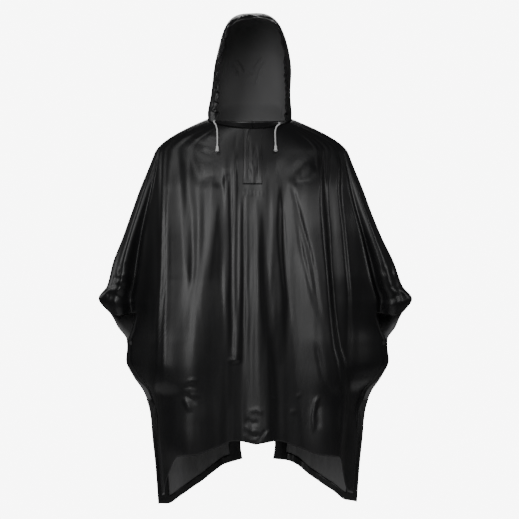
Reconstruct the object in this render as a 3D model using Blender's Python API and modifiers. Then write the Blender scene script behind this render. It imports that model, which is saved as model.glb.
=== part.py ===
"""Hooded rain poncho of coated cloth, filled out as it is when worn, with nobody in it.

Metres, +Z up, front towards -Y. The origin is the middle of the neck opening, at the height where the
poncho rests on its wearer's shoulders. Every cloth piece is a sheet whose columns follow the folds
and whose rows go down the body, with the wall added outwards.
"""
import math

import bpy
import bmesh
from mathutils import Vector

WALL = 0.0015
GAP = 0.0003
SEAM = 0.00015                 # half of the gap between two pieces that meet edge to edge

# The neck opening: a tilted loop, low in front.
NECK_WIDE = 0.125
NECK_FRONT = 0.090
NECK_BACK = 0.085
NECK_FRONT_HEIGHT = -0.0200
NECK_ROUND = 1.3               # how soon the loop comes down from its sides to the middle of the front
NECK_SIDE_HEIGHT = 0.018
NECK_BACK_HEIGHT = 0.020
NECK_ASIDE = -0.010            # the hood and the sides of the neck opening lie a little to one side,
NECK_ASIDE_TOP = 0.25          # up to this height

SHOULDER = -0.087              # below this height the rows are level
CUFF = -0.560                  # height of the front's cuff edge at the body side of the arm
CUFF_CORNER = -0.519           # height of the cuff's outer corner, at the end of the arm line
CUFF_BEND = -0.400             # above this height the rows over the arm are level too
SLIT_END = -0.190
SLIT_HALF = 0.0003
FRONT_HEM = -0.930             # the front's last row before the hem takes its curve
BACK_HEM = -1.000              # and the back's
HEM_START = -0.816             # height from which the rows begin to follow the hem
HEM_BAND = 0.024
SNAP_UPPER = -0.652
SNAP_LOWER = -0.806
SNAP_UPPER_WIDE = 0.3755
SNAP_LOWER_WIDE = 0.3115
SNAP_CAP_RADIUS = 0.006
SNAP_STUD_RADIUS = 0.005
SNAP_TALL = 0.0022

# The whole garment hangs a little to one side, from the chest down.
LEAN_TOP = -0.0045
LEAN_LOW = 0.0135
LEAN_START = -0.22
LEAN_LENGTH = 0.50

ACROSS = 3                     # columns from one fold line to the next
SLEEVE_COLUMNS = 4             # columns from the front's outer fold to the arm line
CAP_ROWS = (0.0, 0.22, 0.45, 0.70)
ROWS_OVER_ARM = (-0.087, -0.120, -0.155, -0.190, -0.250, -0.310, -0.370, -0.430, -0.480, -0.520,
                 -0.560)
ROWS_BELOW_CUFF = (-0.606, -0.642, -0.662, -0.705, -0.753, -0.796, -0.816)
FRONT_HEM_ROWS = (-0.850, -0.890, -0.930)
BACK_HEM_ROWS = (-0.865, -0.920, -0.976, -1.000)

CORD_DIAMETER = 0.0045


class Table:
    """Rows of named sizes. table(name, place) reads a column between its rows without overshoot."""

    def __init__(self, names, *rows):
        names = names.split()
        rows = sorted(rows)
        self.places = [row[0] for row in rows]
        self.columns = {name: [row[i] for row in rows] for i, name in enumerate(names)}

    def __call__(self, name, place):
        places, values = self.places, self.columns[name]
        if place <= places[0]:
            return values[0]
        if place >= places[-1]:
            return values[-1]
        k = max(i for i in range(len(places) - 1) if places[i] <= place)
        step = places[k + 1] - places[k]
        t = (place - places[k]) / step
        m0, m1 = self.slope(k, values), self.slope(k + 1, values)
        return ((2 * t**3 - 3 * t**2 + 1) * values[k] + (t**3 - 2 * t**2 + t) * step * m0
                + (3 * t**2 - 2 * t**3) * values[k + 1] + (t**3 - t**2) * step * m1)

    def slope(self, k, values):
        if k == 0 or k == len(values) - 1:
            return 0.0 if len(values) < 2 else self.chord(min(k, len(values) - 2), values)
        before, after = self.chord(k - 1, values), self.chord(k, values)
        return 0.0 if before * after <= 0 else 2 * before * after / (before + after)

    def chord(self, k, values):
        return (values[k + 1] - values[k]) / (self.places[k + 1] - self.places[k])


# The arm line down to the cuff corner, and from there the back's own side edge: half width, depth,
# width of the flat strip along the edge, and how the section comes in to it (0.5 round, 1 pointed).
RIDGE = Table(
    "height  wide    depth   flange  turn  rise",
    (-0.087, 0.2900, -0.005, 0.000, 0.50, 0.000),
    (-0.123, 0.3035, -0.010, 0.000, 0.50, 0.000),
    (-0.195, 0.3325, -0.015, 0.000, 0.50, 0.000),
    (-0.267, 0.3580, -0.022, 0.000, 0.50, 0.000),
    (-0.339, 0.3850, -0.030, 0.000, 0.50, 0.000),
    (-0.411, 0.4160, -0.038, 0.000, 0.50, 0.000),
    (-0.483, 0.4380, -0.045, 0.000, 0.50, 0.000),
    (-0.519, 0.4640, -0.048, 0.000, 0.52, 0.000),
    (-0.567, 0.4330, -0.020, 0.004, 0.60, 0.000),
    (-0.606, 0.4150, -0.014, 0.014, 0.75, 0.000),
    (-0.642, 0.3890, -0.0280, 0.024, 0.85, 0.000),
    (-0.662, 0.3880, -0.0280, 0.024, 0.85, 0.000),
    (-0.705, 0.3930, -0.014, 0.026, 0.90, 0.000),
    (-0.753, 0.3720, -0.008, 0.032, 0.90, 0.000),
    (-0.796, 0.3430, -0.0070, 0.053, 0.85, 0.000),
    (-0.816, 0.3340, -0.0070, 0.053, 0.85, 0.000),
    (-0.860, 0.3240, 0.012, 0.010, 0.80, 0.000),
    (-0.951, 0.3170, 0.040, 0.000, 0.75, 0.004),
    (-1.030, 0.3100, 0.055, 0.000, 0.70, 0.005),
    (-1.143, 0.3020, 0.060, 0.000, 0.70, 0.004),
)

# The front's outer fold, which below the cuff becomes its side edge.
FRONT_EDGE = Table(
    "height  wide    depth   flange  rise",
    (-0.087, 0.2700, -0.045, 0.000, 0.006),
    (-0.195, 0.2850, -0.085, 0.000, 0.009),
    (-0.339, 0.3160, -0.108, 0.000, 0.011),
    (-0.447, 0.3340, -0.118, 0.000, 0.012),
    (-0.519, 0.3480, -0.120, 0.000, 0.012),
    (-0.560, 0.3540, -0.112, 0.000, 0.010),
    (-0.606, 0.3660, -0.080, 0.014, 0.004),
    (-0.642, 0.3840, -0.0297, 0.022, 0.000),
    (-0.662, 0.3880, -0.0297, 0.022, 0.000),
    (-0.705, 0.3900, -0.026, 0.022, 0.000),
    (-0.753, 0.3660, -0.022, 0.022, 0.000),
    (-0.796, 0.3270, -0.0090, 0.022, 0.000),
    (-0.816, 0.3190, -0.0090, 0.022, 0.000),
    (-0.862, 0.3000, -0.035, 0.010, 0.000),
    (-0.945, 0.2970, -0.060, 0.000, 0.004),
    (-1.040, 0.2900, -0.072, 0.000, 0.004),
    (-1.100, 0.2830, -0.080, 0.000, 0.002),
)

# Depth of the body at the middle, front and back.
BODY = Table(
    "height  front   back",
    (-0.087, -0.112, 0.108),
    (-0.123, -0.123, 0.118),
    (-0.195, -0.135, 0.128),
    (-0.300, -0.143, 0.130),
    (-0.450, -0.148, 0.127),
    (-0.650, -0.153, 0.128),
    (-0.800, -0.157, 0.133),
    (-0.945, -0.163, 0.139),
    (-1.150, -0.166, 0.145),
)
FRONT_SQUARE = 2.6             # how flat the front is across before it turns back to its outer fold
BACK_SQUARE = 2.4

# Fold lines of the front between its two edges, left to right: angle from the middle at the neck,
# place across at five heights, and how far the crest stands out at three.
FOLD_HEIGHTS = (-0.100, -0.300, -0.520, -0.740, -0.930)
RISE_HEIGHTS = (-0.100, -0.450, -0.930)
FRONT_FOLDS = (
    # name            neck   top     chest   waist   low     hem     rise: top, mid, hem
    ("shoulder_left", -60, -0.240, -0.256, -0.254, -0.250, -0.245, 0.005, 0.011, 0.009),
    ("side_left",     -50, -0.200, -0.190, -0.186, -0.203, -0.205, 0.005, 0.010, 0.006),
    ("breast_left",   -39, -0.150, -0.122, -0.141, -0.160, -0.156, 0.007, 0.013, 0.010),
    ("inner_left",    -27, -0.092, -0.084, -0.084, -0.089, -0.095, 0.002, 0.007, 0.008),
    ("placket_left",  -17, -0.037, -0.046, -0.050, -0.052, -0.043, 0.000, 0.006, 0.008),
    ("middle",          0, 0.0000, 0.0000, 0.0036, 0.0065, 0.0090, 0.000, 0.012, 0.018),
    ("placket_right",  17, 0.0370, 0.0530, 0.0590, 0.0680, 0.0800, 0.000, 0.008, 0.008),
    ("breast_right",   37, 0.1080, 0.1380, 0.1620, 0.1780, 0.1800, 0.006, 0.017, 0.014),
    ("side_right",     57, 0.2200, 0.2360, 0.2410, 0.2440, 0.2440, 0.005, 0.009, 0.008),
    ("shoulder_right", 66, 0.2550, 0.2780, 0.2870, 0.2860, 0.2720, 0.004, 0.009, 0.006),
)
FRONT_EDGE_NECK = 75
EDGE_STRIP = 0.022             # the first column inside an edge runs this far from it,
EDGE_STRIP_SHARE = 0.25        # and is this share of the way to the first fold line in column count
BACK_FOLDS = (
    # name            neck   top     chest   waist   low     hem     rise: top, mid, hem
    ("arm_left",      -72, -0.250, -0.280, -0.320, -0.285, -0.235, 0.004, 0.012, 0.012),
    ("blade_left",    -54, -0.190, -0.205, -0.222, -0.205, -0.178, 0.004, 0.012, 0.014),
    ("loin_left",     -38, -0.125, -0.128, -0.136, -0.132, -0.120, 0.003, 0.009, 0.013),
    ("vent_left",     -21, -0.062, -0.064, -0.066, -0.066, -0.066, 0.001, 0.008, 0.010),
    ("vent",            0, 0.0000, 0.0030, 0.0080, 0.0130, 0.0140, 0.000, 0.002, 0.002),
    ("vent_right",     20, 0.0600, 0.0640, 0.0690, 0.0660, 0.0660, 0.001, 0.008, 0.010),
    ("loin_right",     40, 0.1330, 0.1410, 0.1440, 0.1380, 0.1260, 0.003, 0.010, 0.013),
    ("blade_right",    56, 0.1960, 0.2150, 0.2330, 0.2120, 0.1840, 0.004, 0.012, 0.014),
    ("arm_right",      73, 0.2520, 0.2850, 0.3280, 0.2900, 0.2380, 0.004, 0.011, 0.012),
)
DIP = 0.75                     # depth of the trough between two folds, as a share of their height

# The front's cuff edge from the outer fold (share 0) round the arm to the arm line (1), and the
# trough and ridge beside the fold, as a share of the sleeve's width.
CUFF_EDGE = Table(
    "share  height",
    (0.00, CUFF),
    (0.40, -0.568),
    (0.75, -0.562),
    (1.00, CUFF_CORNER),
)
SLEEVE_FOLDS = Table(
    "share  rise",
    (0.00, 0.00),
    (0.25, -0.16),
    (0.50, 0.06),
    (0.75, -0.02),
    (1.00, 0.00),
)

# Hem heights, by place across as a share of the half width.
FRONT_HEM_LINE = Table(
    "share  left    right",
    (0.00, -0.936, -0.936),
    (0.20, -0.926, -0.926),
    (0.40, -0.946, -0.944),
    (0.58, -0.966, -0.964),
    (0.74, -0.974, -0.974),
    (0.86, -1.040, -1.036),
    (1.00, -1.092, -1.088),
)
BACK_HEM_LINE = Table(
    "share  left    right",
    (0.00, -1.022, -1.022),
    (0.22, -1.038, -1.030),
    (0.50, -1.087, -1.077),
    (0.75, -1.129, -1.118),
    (0.90, -1.152, -1.141),
    (1.00, -1.147, -1.141),
)
VENT = Table(
    "height  half",
    (-1.030, 0.0460),
    (-0.976, 0.0530),
    (-0.930, 0.0470),
    (-0.865, 0.0260),
    (-0.816, 0.0000),
)

# The hood is made of ribs, arches that go from the face to the nape: place along the hood, half
# width, squareness, where the seam of the centre strip is on the way up the arch, and the depth and
# height of the arch's top.
HOOD = Table(
    "along wide    square seam  depth   height",
    (0.00, 0.0985, 3.0, 0.930, -0.1100, 0.2960),
    (0.12, 0.1090, 3.1, 0.930, -0.0580, 0.3230),
    (0.27, 0.1185, 3.0, 0.900, 0.0080, 0.3330),
    (0.43, 0.1200, 3.0, 0.870, 0.0750, 0.3080),
    (0.60, 0.1180, 3.3, 0.860, 0.1130, 0.2350),
    (0.76, 0.1140, 3.8, 0.840, 0.1210, 0.1500),
    (0.88, 0.1060, 4.0, 0.780, 0.1120, 0.0820),
)
HOOD_INSET = 0.0008            # the hood's lower edge is this far inside the neck opening's edge
HOOD_LIFT = 0.0004
RIBS = (0.0, 0.05, 0.12, 0.20, 0.29, 0.38, 0.47, 0.56, 0.65, 0.74, 0.82, 0.88, 0.94, 1.0)
SIDE_ROWS = (0.0, 0.022, 0.12, 0.25, 0.40, 0.56, 0.72, 0.87, 1.0)
STRIP_COLUMNS = 8
THROAT_COLUMNS = 5
THROAT_ANGLE = 56              # where the neck opening passes below the corner of the face
NAPE_ANGLE = 134               # where it passes below the strip's edge
THROAT_TOP = 0.001
THROAT_DEPTH = -0.098
THROAT_ROW = 0.022             # the row of the side panels that meets the corner of the face
ARCH_FULL = 0.25               # share of its height at which a rib has its full width
SEAM_SHARE = 0.0012            # the gap at the strip's seam as a share of a rib's height
NAPE_START = 0.88              # the last full rib, behind which the hood comes down to the neck
NAPE_GAP = 0.7                 # degrees between a side panel's last corner and the strip's
SIDE_RIBS = (*(rib for rib in RIBS if rib <= NAPE_START), 1.0)
PLACKET_COLUMNS = 2            # columns that the placket covers on each side of the slit
OVERLAP_GAP = 0.0005
LINING_GAP = 0.0007            # between a panel and a strip that lies against its inside
VENT_TURN = -0.816             # the vent's turned edges start below this row
VENT_COLUMNS = 2
SIDE_COLUMNS = 2
MERGE = 0.00001
COLLECTION = "hooded_rain_poncho"

# Turned small pieces, as (radius, height) from the top down.
EYELET_RADIUS = 0.0045
EYELET_HOLE = 0.0026
EYELET_TALL = 0.0014
CORD_END_PROFILE = (
    (0.0, 0.0), (0.0031, 0.0), (0.0037, -0.0008), (0.0040, -0.0070), (0.0046, -0.0120),
    (0.0056, -0.0165), (0.0050, -0.0175), (0.0, -0.0175),
)
EYELETS = {
    # side, angle round the neck opening, row of the side panel
    "left": (-1, 58.5, 0.018),
    "right": (1, 40.5, 0.013),
}
# The cords' routes, from the eyelet down over the chest.
CORD_ROUTES = {
    "left": ((-0.1150, -0.0500, 0.0068), (-0.1150, -0.0565, 0.0020), (-0.1085, -0.0700, -0.0080),
             (-0.1050, -0.0850, -0.0240), (-0.1038, -0.0990, -0.0460), (-0.1037, -0.1095, -0.0720)),
    "right": ((0.0783, -0.0719, -0.0016), (0.0783, -0.0785, -0.0050), (0.0700, -0.0868, -0.0130),
              (0.0656, -0.0922, -0.0270), (0.0655, -0.1020, -0.0480), (0.0663, -0.1150, -0.0720)),
}


def mix(a, b, t):
    return a + (b - a) * t


def soft(t):
    t = min(max(t, 0.0), 1.0)
    return t * t * (3 - 2 * t)


def lean(height):
    return mix(LEAN_TOP, LEAN_LOW, soft((LEAN_START - height) / LEAN_LENGTH))


def neck(angle, inset=0.0):
    """A point of the neck opening, or of a smaller one in it, by the angle from the middle of the
    front in degrees."""
    a = math.radians(angle)
    low, depth, turn = ((NECK_FRONT_HEIGHT, NECK_FRONT, NECK_ROUND) if abs(angle) <= 90 else
                        (NECK_BACK_HEIGHT, NECK_BACK, 2.0))
    height = mix(NECK_SIDE_HEIGHT, low, abs(math.cos(a)) ** turn)
    return Vector(((NECK_WIDE - inset) * math.sin(a), (inset - depth) * math.cos(a), height))


def aside(point):
    """Moves a point of the hood or of the neck opening to the side it lies over, none in the middle."""
    amount = (point.x / NECK_WIDE) ** 2 * soft(1 - point.z / NECK_ASIDE_TOP)
    return point + Vector((NECK_ASIDE * amount, 0, 0))


def over_shoulder(start, end, t):
    """From the neck opening to the first level row: straight down in front, rounded at the side."""
    side = abs(start.x) / NECK_WIDE
    out = mix(t, math.sin(t * math.pi / 2), side)
    return Vector((mix(start.x, end.x, out), mix(start.y, end.y, out), mix(start.z, end.z, t)))


class Folds:
    """The fold lines of a panel with its two edges, numbered from the left."""

    def __init__(self, rows, edge, edge_neck, middle):
        self.edge = edge
        self.middle = middle
        self.last = len(rows) + 1
        self.necks = [-edge_neck, *(row[1] for row in rows), edge_neck]
        self.places = [Table("height place", *zip(FOLD_HEIGHTS, row[2:7])) for row in rows]
        self.rises = [Table("height rise", *zip(RISE_HEIGHTS, row[7:10])) for row in rows]

    def line(self, k, height):
        if 0 < k < self.last:
            return self.places[k - 1]("place", height)
        return lean(height) + (-1 if k == 0 else 1) * self.edge("wide", height)

    def crest(self, k, height):
        if 0 < k < self.last:
            return self.rises[k - 1]("rise", height)
        return self.edge("rise", height)

    def place(self, column, height):
        k = min(int(column), self.last - 1)
        left, right, t = self.line(k, height), self.line(k + 1, height), column - k
        if k == 0:
            return beside_edge(left, right, t)
        if k == self.last - 1:
            return beside_edge(right, left, 1 - t)
        return mix(left, right, t)

    def neck_angle(self, column):
        k = min(int(column), self.last - 1)
        return mix(self.necks[k], self.necks[k + 1], column - k)

    def rise(self, column, height):
        """How far the cloth stands out: crests at the fold lines, a trough between each two."""
        k = min(int(column), self.last - 1)
        t = column - k
        left, right = self.crest(k, height), self.crest(k + 1, height)
        crest = (left if t < 0.5 else right) * math.cos(math.pi * t) ** 2
        return crest - DIP * min(left, right) * math.sin(math.pi * t) ** 2

    def halves(self):
        """The column numbers of the left half and of the right half, with the middle in both."""
        left = [0.0] + [EDGE_STRIP_SHARE + i * (1 - EDGE_STRIP_SHARE) / ACROSS for i in range(ACROSS)]
        left += [k + i / ACROSS for k in range(1, self.middle) for i in range(ACROSS)]
        right = [k + i / ACROSS for k in range(self.middle, self.last - 1) for i in range(ACROSS)]
        right += sorted(self.last - c for c in left[:ACROSS + 2])
        return [*left, float(self.middle)], sorted(set(right))


def beside_edge(edge, line, t):
    """From an edge to the fold line next to it, with a column at the edge strip's width."""
    strip = edge + math.copysign(EDGE_STRIP, line - edge)
    if t < EDGE_STRIP_SHARE:
        return mix(edge, strip, t / EDGE_STRIP_SHARE)
    return mix(strip, line, (t - EDGE_STRIP_SHARE) / (1 - EDGE_STRIP_SHARE))


FRONT = Folds(FRONT_FOLDS, FRONT_EDGE, FRONT_EDGE_NECK, 6)
BACK = Folds(BACK_FOLDS, RIDGE, 90, 5)


def front_depth(x, height):
    """Depth of the front's smooth section, before its folds."""
    wide = FRONT_EDGE("wide", height) - FRONT_EDGE("flange", height)
    share = min(abs(x - lean(height)) / wide, 1.0)
    return mix(BODY("front", height), FRONT_EDGE("depth", height), share**FRONT_SQUARE)


def back_depth(x, height):
    """The same for the back."""
    wide = RIDGE("wide", height) - RIDGE("flange", height)
    share = min(abs(x - lean(height)) / wide, 1.0)
    full = (1 - share**BACK_SQUARE) ** RIDGE("turn", height)
    return mix(RIDGE("depth", height), BODY("back", height), full)


def folded(depth, facing, x, height, rise):
    """A point of a section, moved away from the body by rise and square to the section's curve."""
    step = 0.002
    slope = (depth(x + step, height) - depth(x - step, height)) / (2 * step)
    out = Vector((-slope * facing, facing)).normalized() * rise
    return Vector((x + out.x, depth(x, height) + out.y, height))


def hem_shift(line, last_row, share, height, full_at):
    """How far a row is moved down so that the last rows follow the hem's curve. share is the place
    across, from -1 at the left edge to 1 at the right."""
    follow = soft((HEM_START - height) / (HEM_START - full_at))
    return follow * (line("left" if share < 0 else "right", abs(share)) - last_row)


def front_body(column, height):
    """A point of the front between its outer folds, on a row at this height before the hem's curve."""
    share = (FRONT.place(column, height) - lean(height)) / FRONT_EDGE("wide", height)
    height += hem_shift(FRONT_HEM_LINE, FRONT_HEM, share, height, FRONT_HEM)
    x = FRONT.place(column, height)
    return folded(front_depth, -1, x, height, FRONT.rise(column, height))


def row_over_arm(height, share):
    """Height of a row over the arm, where rows bend to meet the cuff's edge; share 1 is the arm line."""
    if height >= CUFF_BEND:
        return height
    bend = (CUFF_BEND - height) / (CUFF_BEND - CUFF)
    return mix(CUFF_BEND, CUFF_EDGE("height", share), bend)


def front_sleeve(side, share, height):
    """A point of the front over the arm, from the outer fold (share 0) round to the arm line (1)."""
    height = row_over_arm(height, share)
    inner = front_body(0 if side < 0 else FRONT.last, height)
    outer = lean(height) + side * RIDGE("wide", height)
    turn = share * math.pi / 2
    x = mix(inner.x, outer, math.sin(turn))
    y = mix(inner.y, RIDGE("depth", height) - SEAM, 1 - math.cos(turn))
    rise = abs(outer - inner.x) * SLEEVE_FOLDS("rise", share)
    return Vector((x + side * rise * math.sin(turn), y - rise * math.cos(turn), height))


def front_point(column, row, side):
    """A point of the front panel. Columns past the outer folds go over the arms; a row between 0
    and 1 is on the shoulders, and any other is a height. side tells the slit's two edges apart."""
    over = -column if column < 0 else max(column - FRONT.last, 0.0)
    height = SHOULDER if row >= 0 else row
    point = front_sleeve(side, over, height) if over else front_body(column, height)
    if row >= 0:
        edge_angle = side * mix(FRONT_EDGE_NECK, 90, over)
        start = aside(neck(edge_angle if over else FRONT.neck_angle(column)))
        start.y -= SEAM * over
        point = over_shoulder(start, point, row)
    if column == FRONT.middle and (row >= 0 or row > SLIT_END):
        point.x += side * SLIT_HALF
    return point


def back_point(column, row, side):
    """A point of the back panel. side tells the vent's two edges apart."""
    height = SHOULDER if row >= 0 else row
    share = (BACK.place(column, height) - lean(height)) / RIDGE("wide", height)
    height += hem_shift(BACK_HEM_LINE, BACK_HEM, share, height, BACK_HEM + HEM_BAND)
    x = BACK.place(column, height)
    point = folded(back_depth, 1, x, height, BACK.rise(column, height))
    point.y += SEAM
    point.x += side * VENT("half", height) * max(1 - abs(share), 0.0) ** 1.5
    if row >= 0:
        start = aside(neck(180 - BACK.neck_angle(column)))
        start.y += SEAM
        point = over_shoulder(start, point, row)
    return point


def hood_foot(angle):
    """A point of the hood's lower edge, which is fixed in against the edge of the neck opening."""
    return neck(angle, WALL + HOOD_INSET) + Vector((0, 0, HOOD_LIFT))


def arch_base(along):
    """Where a rib of the hood stands, on the right side."""
    return hood_foot(mix(THROAT_ANGLE, NAPE_ANGLE, along))


def arch_point(along, x, share):
    """A point at this share of the way up a rib, this far to the side."""
    base = arch_base(along)
    y = mix(base.y, HOOD("depth", along), share)
    z = mix(base.z, HOOD("height", along), share)
    return Vector((x, y, z))


def arch_half_width(along, share):
    """Half width of a rib at this share of its height: from its base out to its full width, then over."""
    square = HOOD("square", along)
    full = mix(arch_base(along).x, HOOD("wide", along), soft(share / ARCH_FULL))
    return full * (1 - min(share, 1.0) ** square) ** (1 / square)


def to_nape(along):
    """How far a place past the last full rib is on its way down to the neck opening."""
    return max(along - NAPE_START, 0.0) / (1 - NAPE_START)


def hood_strip_point(across, along):
    """A point of the centre strip; across runs from -1 to 1 between its two seams."""
    rib = min(along, NAPE_START)
    x = across * (arch_half_width(rib, HOOD("seam", rib)) - SEAM)
    square = HOOD("square", rib)
    share = (1 - (abs(x) / HOOD("wide", rib)) ** square) ** (1 / square)
    foot = hood_foot(180 - abs(across) * (180 - NAPE_ANGLE))
    foot.x = math.copysign(foot.x, across)
    return aside(arch_point(rib, x, share).lerp(foot, to_nape(along)))


def hood_side(along, row):
    """A point of a side panel before it is turned to its own side of the middle."""
    rib = min(along, NAPE_START)
    share = row * HOOD("seam", 0.0) if row <= THROAT_ROW else row * (HOOD("seam", rib) - SEAM_SHARE)
    point = arch_point(rib, arch_half_width(rib, share), share)
    return point.lerp(hood_foot(NAPE_ANGLE - NAPE_GAP), to_nape(along))


def hood_side_point(along, row, side):
    """A point of a side panel. row is the share of the way from the neck to the strip's seam."""
    point = hood_side(along, row)
    point.x *= side
    return aside(point)


def throat_point(angle, row, side):
    """A point of the part of a side panel below the face, from the middle of the throat outwards."""
    low = hood_foot(angle)
    corner = hood_side(0.0, THROAT_ROW)
    x = low.x * corner.x / arch_base(0.0).x
    share = x / corner.x
    top = Vector((x, mix(THROAT_DEPTH, corner.y, share**2), mix(THROAT_TOP, corner.z, share**2)))
    point = low.lerp(top, row / THROAT_ROW)
    point.x = side * max(point.x, SLIT_HALF)
    return aside(point)


def surface(name, colour, roughness, metallic=0.0):
    material = bpy.data.materials.new(name)
    material.use_nodes = True
    shader = material.node_tree.nodes["Principled BSDF"]
    shader.inputs["Base Color"].default_value = (*colour, 1)
    shader.inputs["Roughness"].default_value = roughness
    shader.inputs["Metallic"].default_value = metallic
    material.diffuse_color = (*colour, 1)
    return material


def add_object(name, data, material):
    made = bpy.data.objects.new(name, data)
    data.materials.append(material)
    bpy.data.collections[COLLECTION].objects.link(made)
    return made


def lay(bm, columns, rows, point, keep=None):
    """Add a grid, its columns left to right and its rows top to bottom as seen from outside. Returns
    the cells that keep, a function of column and row numbers, leaves out."""
    wide, tall = len(columns) - 1, len(rows) - 1
    verts = bmesh.ops.create_grid(bm, x_segments=wide, y_segments=tall, size=1)["verts"]
    for i, vert in enumerate(verts):
        vert.co = point(columns[i % (wide + 1)], rows[tall - i // (wide + 1)])
    bm.faces.ensure_lookup_table()
    cells = bm.faces[-wide * tall:]
    return [cell for i, cell in enumerate(cells)
            if keep and not keep(i % wide, tall - 1 - i // wide)]


def cloth(name, bm, material, left_out=(), moved_out=0.0, wall_out=True):
    """Cut the cells left out, close up the grids, move them out, and give them their wall."""
    bmesh.ops.delete(bm, geom=list(left_out), context="FACES")
    bmesh.ops.remove_doubles(bm, verts=bm.verts, dist=MERGE)
    bm.normal_update()
    places = [vert.co + vert.normal * moved_out for vert in bm.verts]
    for vert, place in zip(bm.verts, places):
        vert.co = place
    mesh = bpy.data.meshes.new(name)
    bm.to_mesh(mesh)
    bm.free()
    mesh.shade_smooth()
    made = add_object(name, mesh, material)
    wall = made.modifiers.new("Wall", "SOLIDIFY")
    wall.thickness = WALL
    wall.offset = 1 if wall_out else -1
    return made


def build_front(material):
    left, right = FRONT.halves()
    over_left = [-1 + i / SLEEVE_COLUMNS for i in range(SLEEVE_COLUMNS)]
    over_right = [FRONT.last + (i + 1) / SLEEVE_COLUMNS for i in range(SLEEVE_COLUMNS)]
    rows = [*CAP_ROWS, *ROWS_OVER_ARM, *ROWS_BELOW_CUFF, *FRONT_HEM_ROWS]
    cuff = len(CAP_ROWS) + len(ROWS_OVER_ARM) - 1
    body_right = len(right) - 1
    bm = bmesh.new()
    below_cuffs = lay(bm, over_left + left, rows, lambda c, r: front_point(c, r, -1),
                      lambda i, j: j < cuff or i >= SLEEVE_COLUMNS)
    below_cuffs += lay(bm, right + over_right, rows, lambda c, r: front_point(c, r, 1),
                       lambda i, j: j < cuff or i < body_right)
    cloth("front_panel", bm, material, below_cuffs)


def build_back(material):
    left, right = BACK.halves()
    over_arm = [row_over_arm(height, 1) for height in ROWS_OVER_ARM]
    rows = [*CAP_ROWS, *over_arm, *ROWS_BELOW_CUFF, *BACK_HEM_ROWS]
    bm = bmesh.new()
    lay(bm, right[::-1], rows, lambda c, r: back_point(c, r, 1))
    lay(bm, left[::-1], rows, lambda c, r: back_point(c, r, -1))
    cloth("back_panel", bm, material)

    # Each half of the hem is turned in, along the bottom, up the vent and up the side.
    vent_rows = [row for row in rows if row < VENT_TURN]
    lowest = len(vent_rows) - 2
    for name, columns, side in (("back_hem_left", left, -1), ("back_hem_right", right[::-1], 1)):
        columns = columns if side > 0 else columns[::-1]
        near_vent, near_side = (len(columns) - 1 - VENT_COLUMNS, 0) if side > 0 else (
            0, len(columns) - 1 - SIDE_COLUMNS)
        bm = bmesh.new()
        inside = lay(bm, columns, vent_rows, lambda c, r: back_point(c, r, side),
                     lambda i, j: (j == lowest or near_vent <= i < near_vent + VENT_COLUMNS
                                   or near_side <= i < near_side + SIDE_COLUMNS))
        cloth(name, bm, material, inside, -LINING_GAP, wall_out=False)


def build_placket(material):
    left, right = FRONT.halves()
    columns = [*left[-1 - PLACKET_COLUMNS:-1], FRONT.middle, *right[1:1 + PLACKET_COLUMNS]]
    rows = [*CAP_ROWS, *(height for height in ROWS_OVER_ARM if height >= SLIT_END)]

    def point(column, row):
        side = -1 if column < FRONT.middle else 1
        if row == "throat":
            angle = FRONT.neck_angle(column)
            return throat_point(abs(angle), THROAT_ROW, side if angle else 0)
        place = front_point(column, row, side)
        place.x -= SLIT_HALF * side * (column == FRONT.middle)
        return place

    bm = bmesh.new()
    lay(bm, columns, ["throat", *rows], point)
    cloth("placket_overlap", bm, material, moved_out=WALL + OVERLAP_GAP)
    bm = bmesh.new()
    lay(bm, columns, rows, point)
    cloth("placket_underlap", bm, material, moved_out=-LINING_GAP, wall_out=False)


def build_hood(material):
    angles = [THROAT_ANGLE * i / THROAT_COLUMNS for i in range(THROAT_COLUMNS)]
    for name, side in (("hood_side_left", -1), ("hood_side_right", 1)):
        columns = [*(("throat", angle) for angle in angles), *(("rib", rib) for rib in SIDE_RIBS)]
        columns = columns if side > 0 else columns[::-1]
        throat = range(THROAT_COLUMNS) if side > 0 else range(len(SIDE_RIBS) - 1, len(columns) - 1)
        lowest = len(SIDE_ROWS) - 2

        def point(column, row):
            kind, place = column
            return (throat_point if kind == "throat" else hood_side_point)(place, row, side)

        bm = bmesh.new()
        face = lay(bm, columns, SIDE_ROWS[::-1],
                   lambda c, r: point(c, min(r, THROAT_ROW) if c[0] == "throat" else r),
                   lambda i, j: j == lowest or i not in throat)
        cloth(name, bm, material, face)
    strip = [2 * i / STRIP_COLUMNS - 1 for i in range(STRIP_COLUMNS + 1)]
    bm = bmesh.new()
    lay(bm, strip, RIBS[::-1], hood_strip_point)
    cloth("hood_center", bm, material)

    # The channel runs round the face just inside the hood, over the same rows.
    left = [("side", row, -1) for row in SIDE_ROWS[1:-1]]
    middle = [("strip", across, 0) for across in strip]
    right = [("side", row, 1) for row in SIDE_ROWS[-2:0:-1]]

    def channel_point(column, rib):
        kind, place, side = column
        return hood_strip_point(place, rib) if kind == "strip" else hood_side_point(rib, place, side)

    bm = bmesh.new()
    lay(bm, [*left, *middle, *right], [RIBS[1], RIBS[0]], channel_point)
    cloth("hood_channel", bm, material, moved_out=-LINING_GAP, wall_out=False)


def turned(name, profile, material, place, direction=(0, 0, 1), steps=16):
    """A solid of revolution from a profile of (radius, height) pairs, top to bottom."""
    bm = bmesh.new()
    verts = [bm.verts.new((radius, 0, height)) for radius, height in profile]
    for upper, lower in zip(verts, verts[1:]):
        bm.edges.new((upper, lower))
    mesh = bpy.data.meshes.new(name)
    bm.to_mesh(mesh)
    bm.free()
    made = add_object(name, mesh, material)
    made.location = place
    made.rotation_euler = Vector(direction).to_track_quat("Z", "Y").to_euler()
    screw = made.modifiers.new("Turn", "SCREW")
    screw.steps = screw.render_steps = steps
    screw.use_merge_vertices = True
    screw.merge_threshold = MERGE
    return made


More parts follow.
